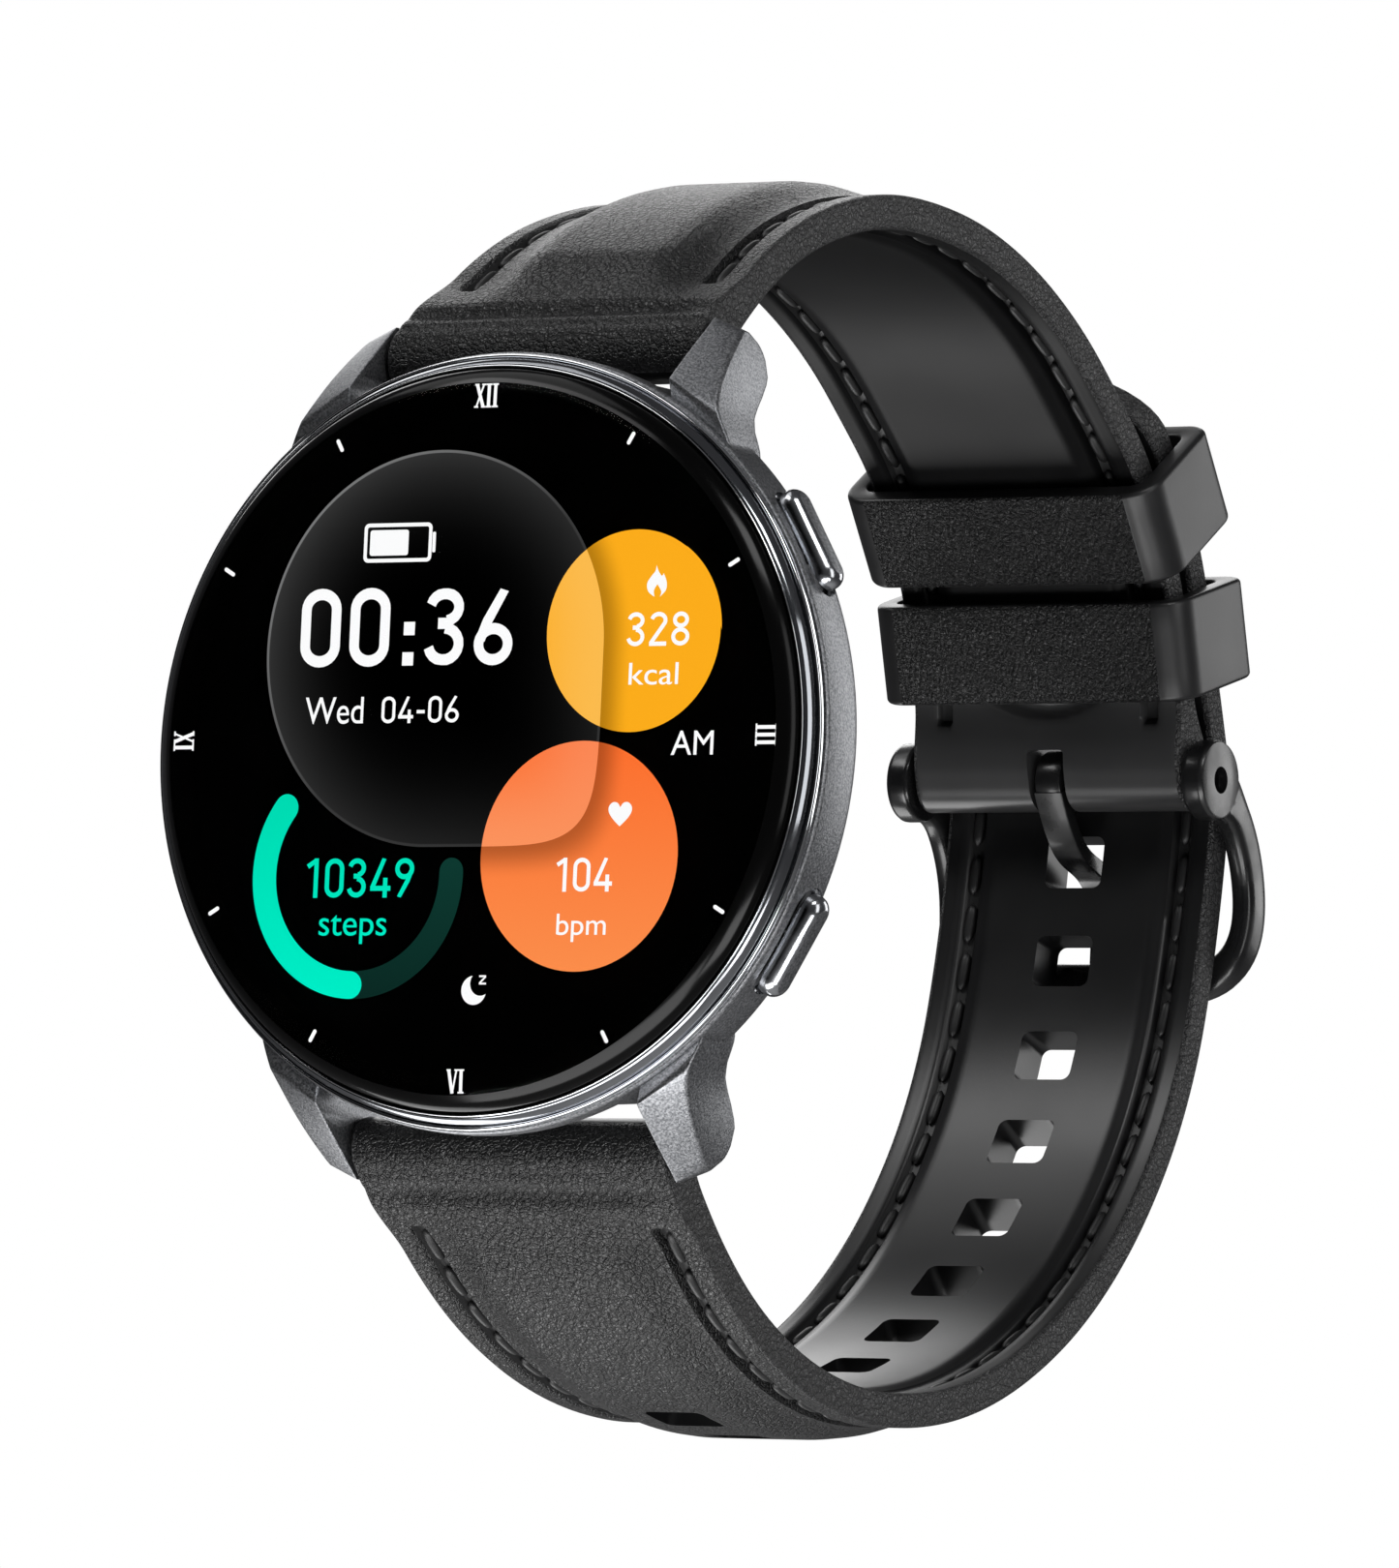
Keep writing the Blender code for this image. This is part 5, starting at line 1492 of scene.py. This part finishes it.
boolean(tang, rod("bore", 0.85, 8.0, (0, PIN_Y, PIN_Z), (1, 0, 0), [GLOSS], 40))
shade(tang, 36)
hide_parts("buckle_tang")
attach(tang, "buckle_tang")

pin = rod("buckle_pin_turned", 0.7, 21.4, (0, PIN_Y, PIN_Z), (1, 0, 0), [GLOSS], 40, 0.15)
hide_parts("buckle_pin")
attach(pin, "buckle_frame")

# ======================================================================== rear
REAR = satin("rear_cover_satin", (0.012, 0.012, 0.0125), (0.022, 0.022, 0.0225), 0.30, 0.35)
rear = lathe("rear_cover_shell", [
    (19.95, Y0 + 7.6), (19.95, Y0 + 8.35), (19.86, Y0 + 8.62), (19.68, Y0 + 8.95), (19.4, Y0 + 9.22),
    (19.05, Y0 + 9.42), (18.6, Y0 + 9.52), (16.0, Y0 + 9.64), (13.1, Y0 + 9.82), (12.75, Y0 + 9.85),
    (12.5, Y0 + 9.83), (12.38, Y0 + 9.75), (12.35, Y0 + 9.6), (12.35, Y0 + 9.2), (10.9, Y0 + 9.2),
    (10.9, Y0 + 8.3), (12.6, Y0 + 8.3), (16.2, Y0 + 7.6), (18.85, Y0 + 7.6), (18.85, Y0 + 8.15),
    (19.5, Y0 + 8.15), (19.5, Y0 + 7.6)], [REAR], 192, closed=True)
for deg in (45, 135, 225, 315):
    a = math.radians(deg)
    x, z = 17.8 * math.cos(a), 17.8 * math.sin(a)
    boolean(rear, rod("hole", 0.65, 4.0, (x, Y0 + 8.4, z), (0, 1, 0), [REAR], 24))
    boolean(rear, rod("head_hole", 1.05, 2.0, (x, Y0 + 9.45, z), (0, 1, 0), [REAR], 32))
for sx in (1, -1):
    boolean(rear, rod("pad_hole", 0.95, 4.0, (1.9 * sx, Y0 + 9.0, -15.4), (0, 1, 0), [REAR], 32))
shade(rear, 32)
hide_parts("rear_cover")
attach(rear, "case")

window_look = Look("sensor_glass", (0.010, 0.010, 0.012), 0.03, 0.0, IOR=1.5, Coat_Weight=0.3)
wx = window_look.noise(70, 2.0)
window_look.feed(window_look.ramp(wx.outputs["Fac"], (0.3, (0.006, 0.006, 0.008)), (0.8, (0.014, 0.014, 0.018))),
                 "Base Color")
window_look.feed(window_look.ramp(wx.outputs["Fac"], (0.3, 0.02), (0.8, 0.05)), "Roughness")
window = lathe("sensor_window_dome", [
    (0, 0), (3.0, 0), (6.0, 0), (7.2, -0.05), (8.4, -0.15), (9.6, -0.30), (10.5, -0.46), (11.3, -0.67),
    (11.8, -0.86), (12.1, -1.05), (12.2, -1.2), (12.2, -1.7), (0, -1.7)], [window_look.mat], 192, sharp=50)
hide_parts("sensor_window")
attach(window, "case")

LENS = polished("sensor_lens", (0.10, 0.10, 0.11), 0.12, 0.3)
EMITTER = polished("sensor_emitter", (0.05, 0.16, 0.07), 0.15, 0.1)
spots = []
for cx, cz, r in ((0, 0, 1.5), (4.6, 0, 1.15), (-4.6, 0, 1.15), (0, 4.6, 1.15), (0, -4.6, 1.15)):
    spots.append(lathe("lens", [(0, 0.004), (r * 0.8, 0.004), (r, -0.001), (r, -0.06), (0, -0.06)],
                       [LENS, EMITTER], 48, index=[0 if r > 1.2 else 1] * 4, centre=(cx, 0, cz)))
lenses = merge("sensor_lenses", spots)
lenses.data.transform(Matrix.Translation((0, -0.000002, 0)))
shade(lenses, 30)
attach(lenses, "case")

GOLD = polished("contact_gold", (0.72, 0.50, 0.20), 0.18)
for side, sx in (("left", -1), ("right", 1)):
    pad = lathe("charge_pad_" + side, [
        (0, Y0 + 8.0), (0.75, Y0 + 8.0), (0.75, Y0 + 9.36), (0.72, Y0 + 9.45), (0.66, Y0 + 9.50),
        (0.58, Y0 + 9.52), (0, Y0 + 9.52)], [GOLD], 40, centre=(1.9 * sx, 0, -15.4))
    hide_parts("charge_contact_" + side)
    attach(pad, "case")

for k, deg in enumerate((45, 135, 225, 315), 1):
    a = math.radians(deg)
    x, z = 17.8 * math.cos(a), 17.8 * math.sin(a)
    screw = lathe("case_screw_%d" % k, [
        (0, Y0 + 6.7), (0.5, Y0 + 6.7), (0.5, Y0 + 8.52), (0.95, Y0 + 8.52), (0.95, Y0 + 8.80),
        (0.91, Y0 + 8.89), (0.82, Y0 + 8.94), (0.6, Y0 + 8.96), (0, Y0 + 8.96)], [STEEL], 40,
        centre=(x, 0, z))
    for turn in (0, 90):
        bit = rounded_box("bit", (0.62, 0.3, 0.13), (0, 0, 0), 0.06, 1, [STEEL], 3)
        bit.data.transform(Matrix.Translation(Vector((x, Y0 + 8.96, z)) * MM)
                           @ Matrix.Rotation(math.radians(turn + deg), 4, "Y"))
        boolean(screw, bit)
    shade(screw, 32)
    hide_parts("rear_screw_%d" % k)
    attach(screw, "case")

# =========================================================== carried-over nodes
BOARD = satin("board_mask", (0.006, 0.045, 0.022), (0.012, 0.09, 0.045), 0.4, 0.6)
CELL = satin("cell_foil", (0.34, 0.35, 0.37), (0.5, 0.51, 0.53), 0.35, 0.5)
PANEL = satin("display_black", (0.0004, 0.0004, 0.0004), (0.0008, 0.0008, 0.0008), 0.6, 0.1)
PANEL.node_tree.nodes["Principled BSDF"].inputs["Specular IOR Level"].default_value = 0.0
KEPT = {"display_panel": PANEL, "main_board": BOARD, "sensor_board": BOARD, "battery": CELL,
        "vibration_motor": STEEL, "glass_gasket": RUBBER, "rear_seal": RUBBER}
for n in nodes:
    if n.endswith("_seal"):
        KEPT[n] = RUBBER
    elif n.endswith("_switch") or "_bar_" in n:
        KEPT[n] = STEEL
for n, mat in KEPT.items():
    node = nodes[n]
    if not node.material_slots:
        node.data.materials.append(mat)
    for slot in node.material_slots:
        slot.material = mat

# ======================================================================= floor
floor_look = Look("floor_paper", (0.86, 0.86, 0.86), 0.6)
floor_look.feed(floor_look.ramp(floor_look.noise(3.0, 2.0).outputs["Fac"], (0.3, 0.84), (0.7, 0.88)),
                "Base Color")
floor = add("floor", [(-1800, -1800, -450), (1800, -1800, -450), (1800, 1800, -450), (-1800, 1800, -450)],
            [(0, 1, 2, 3)], [floor_look.mat])
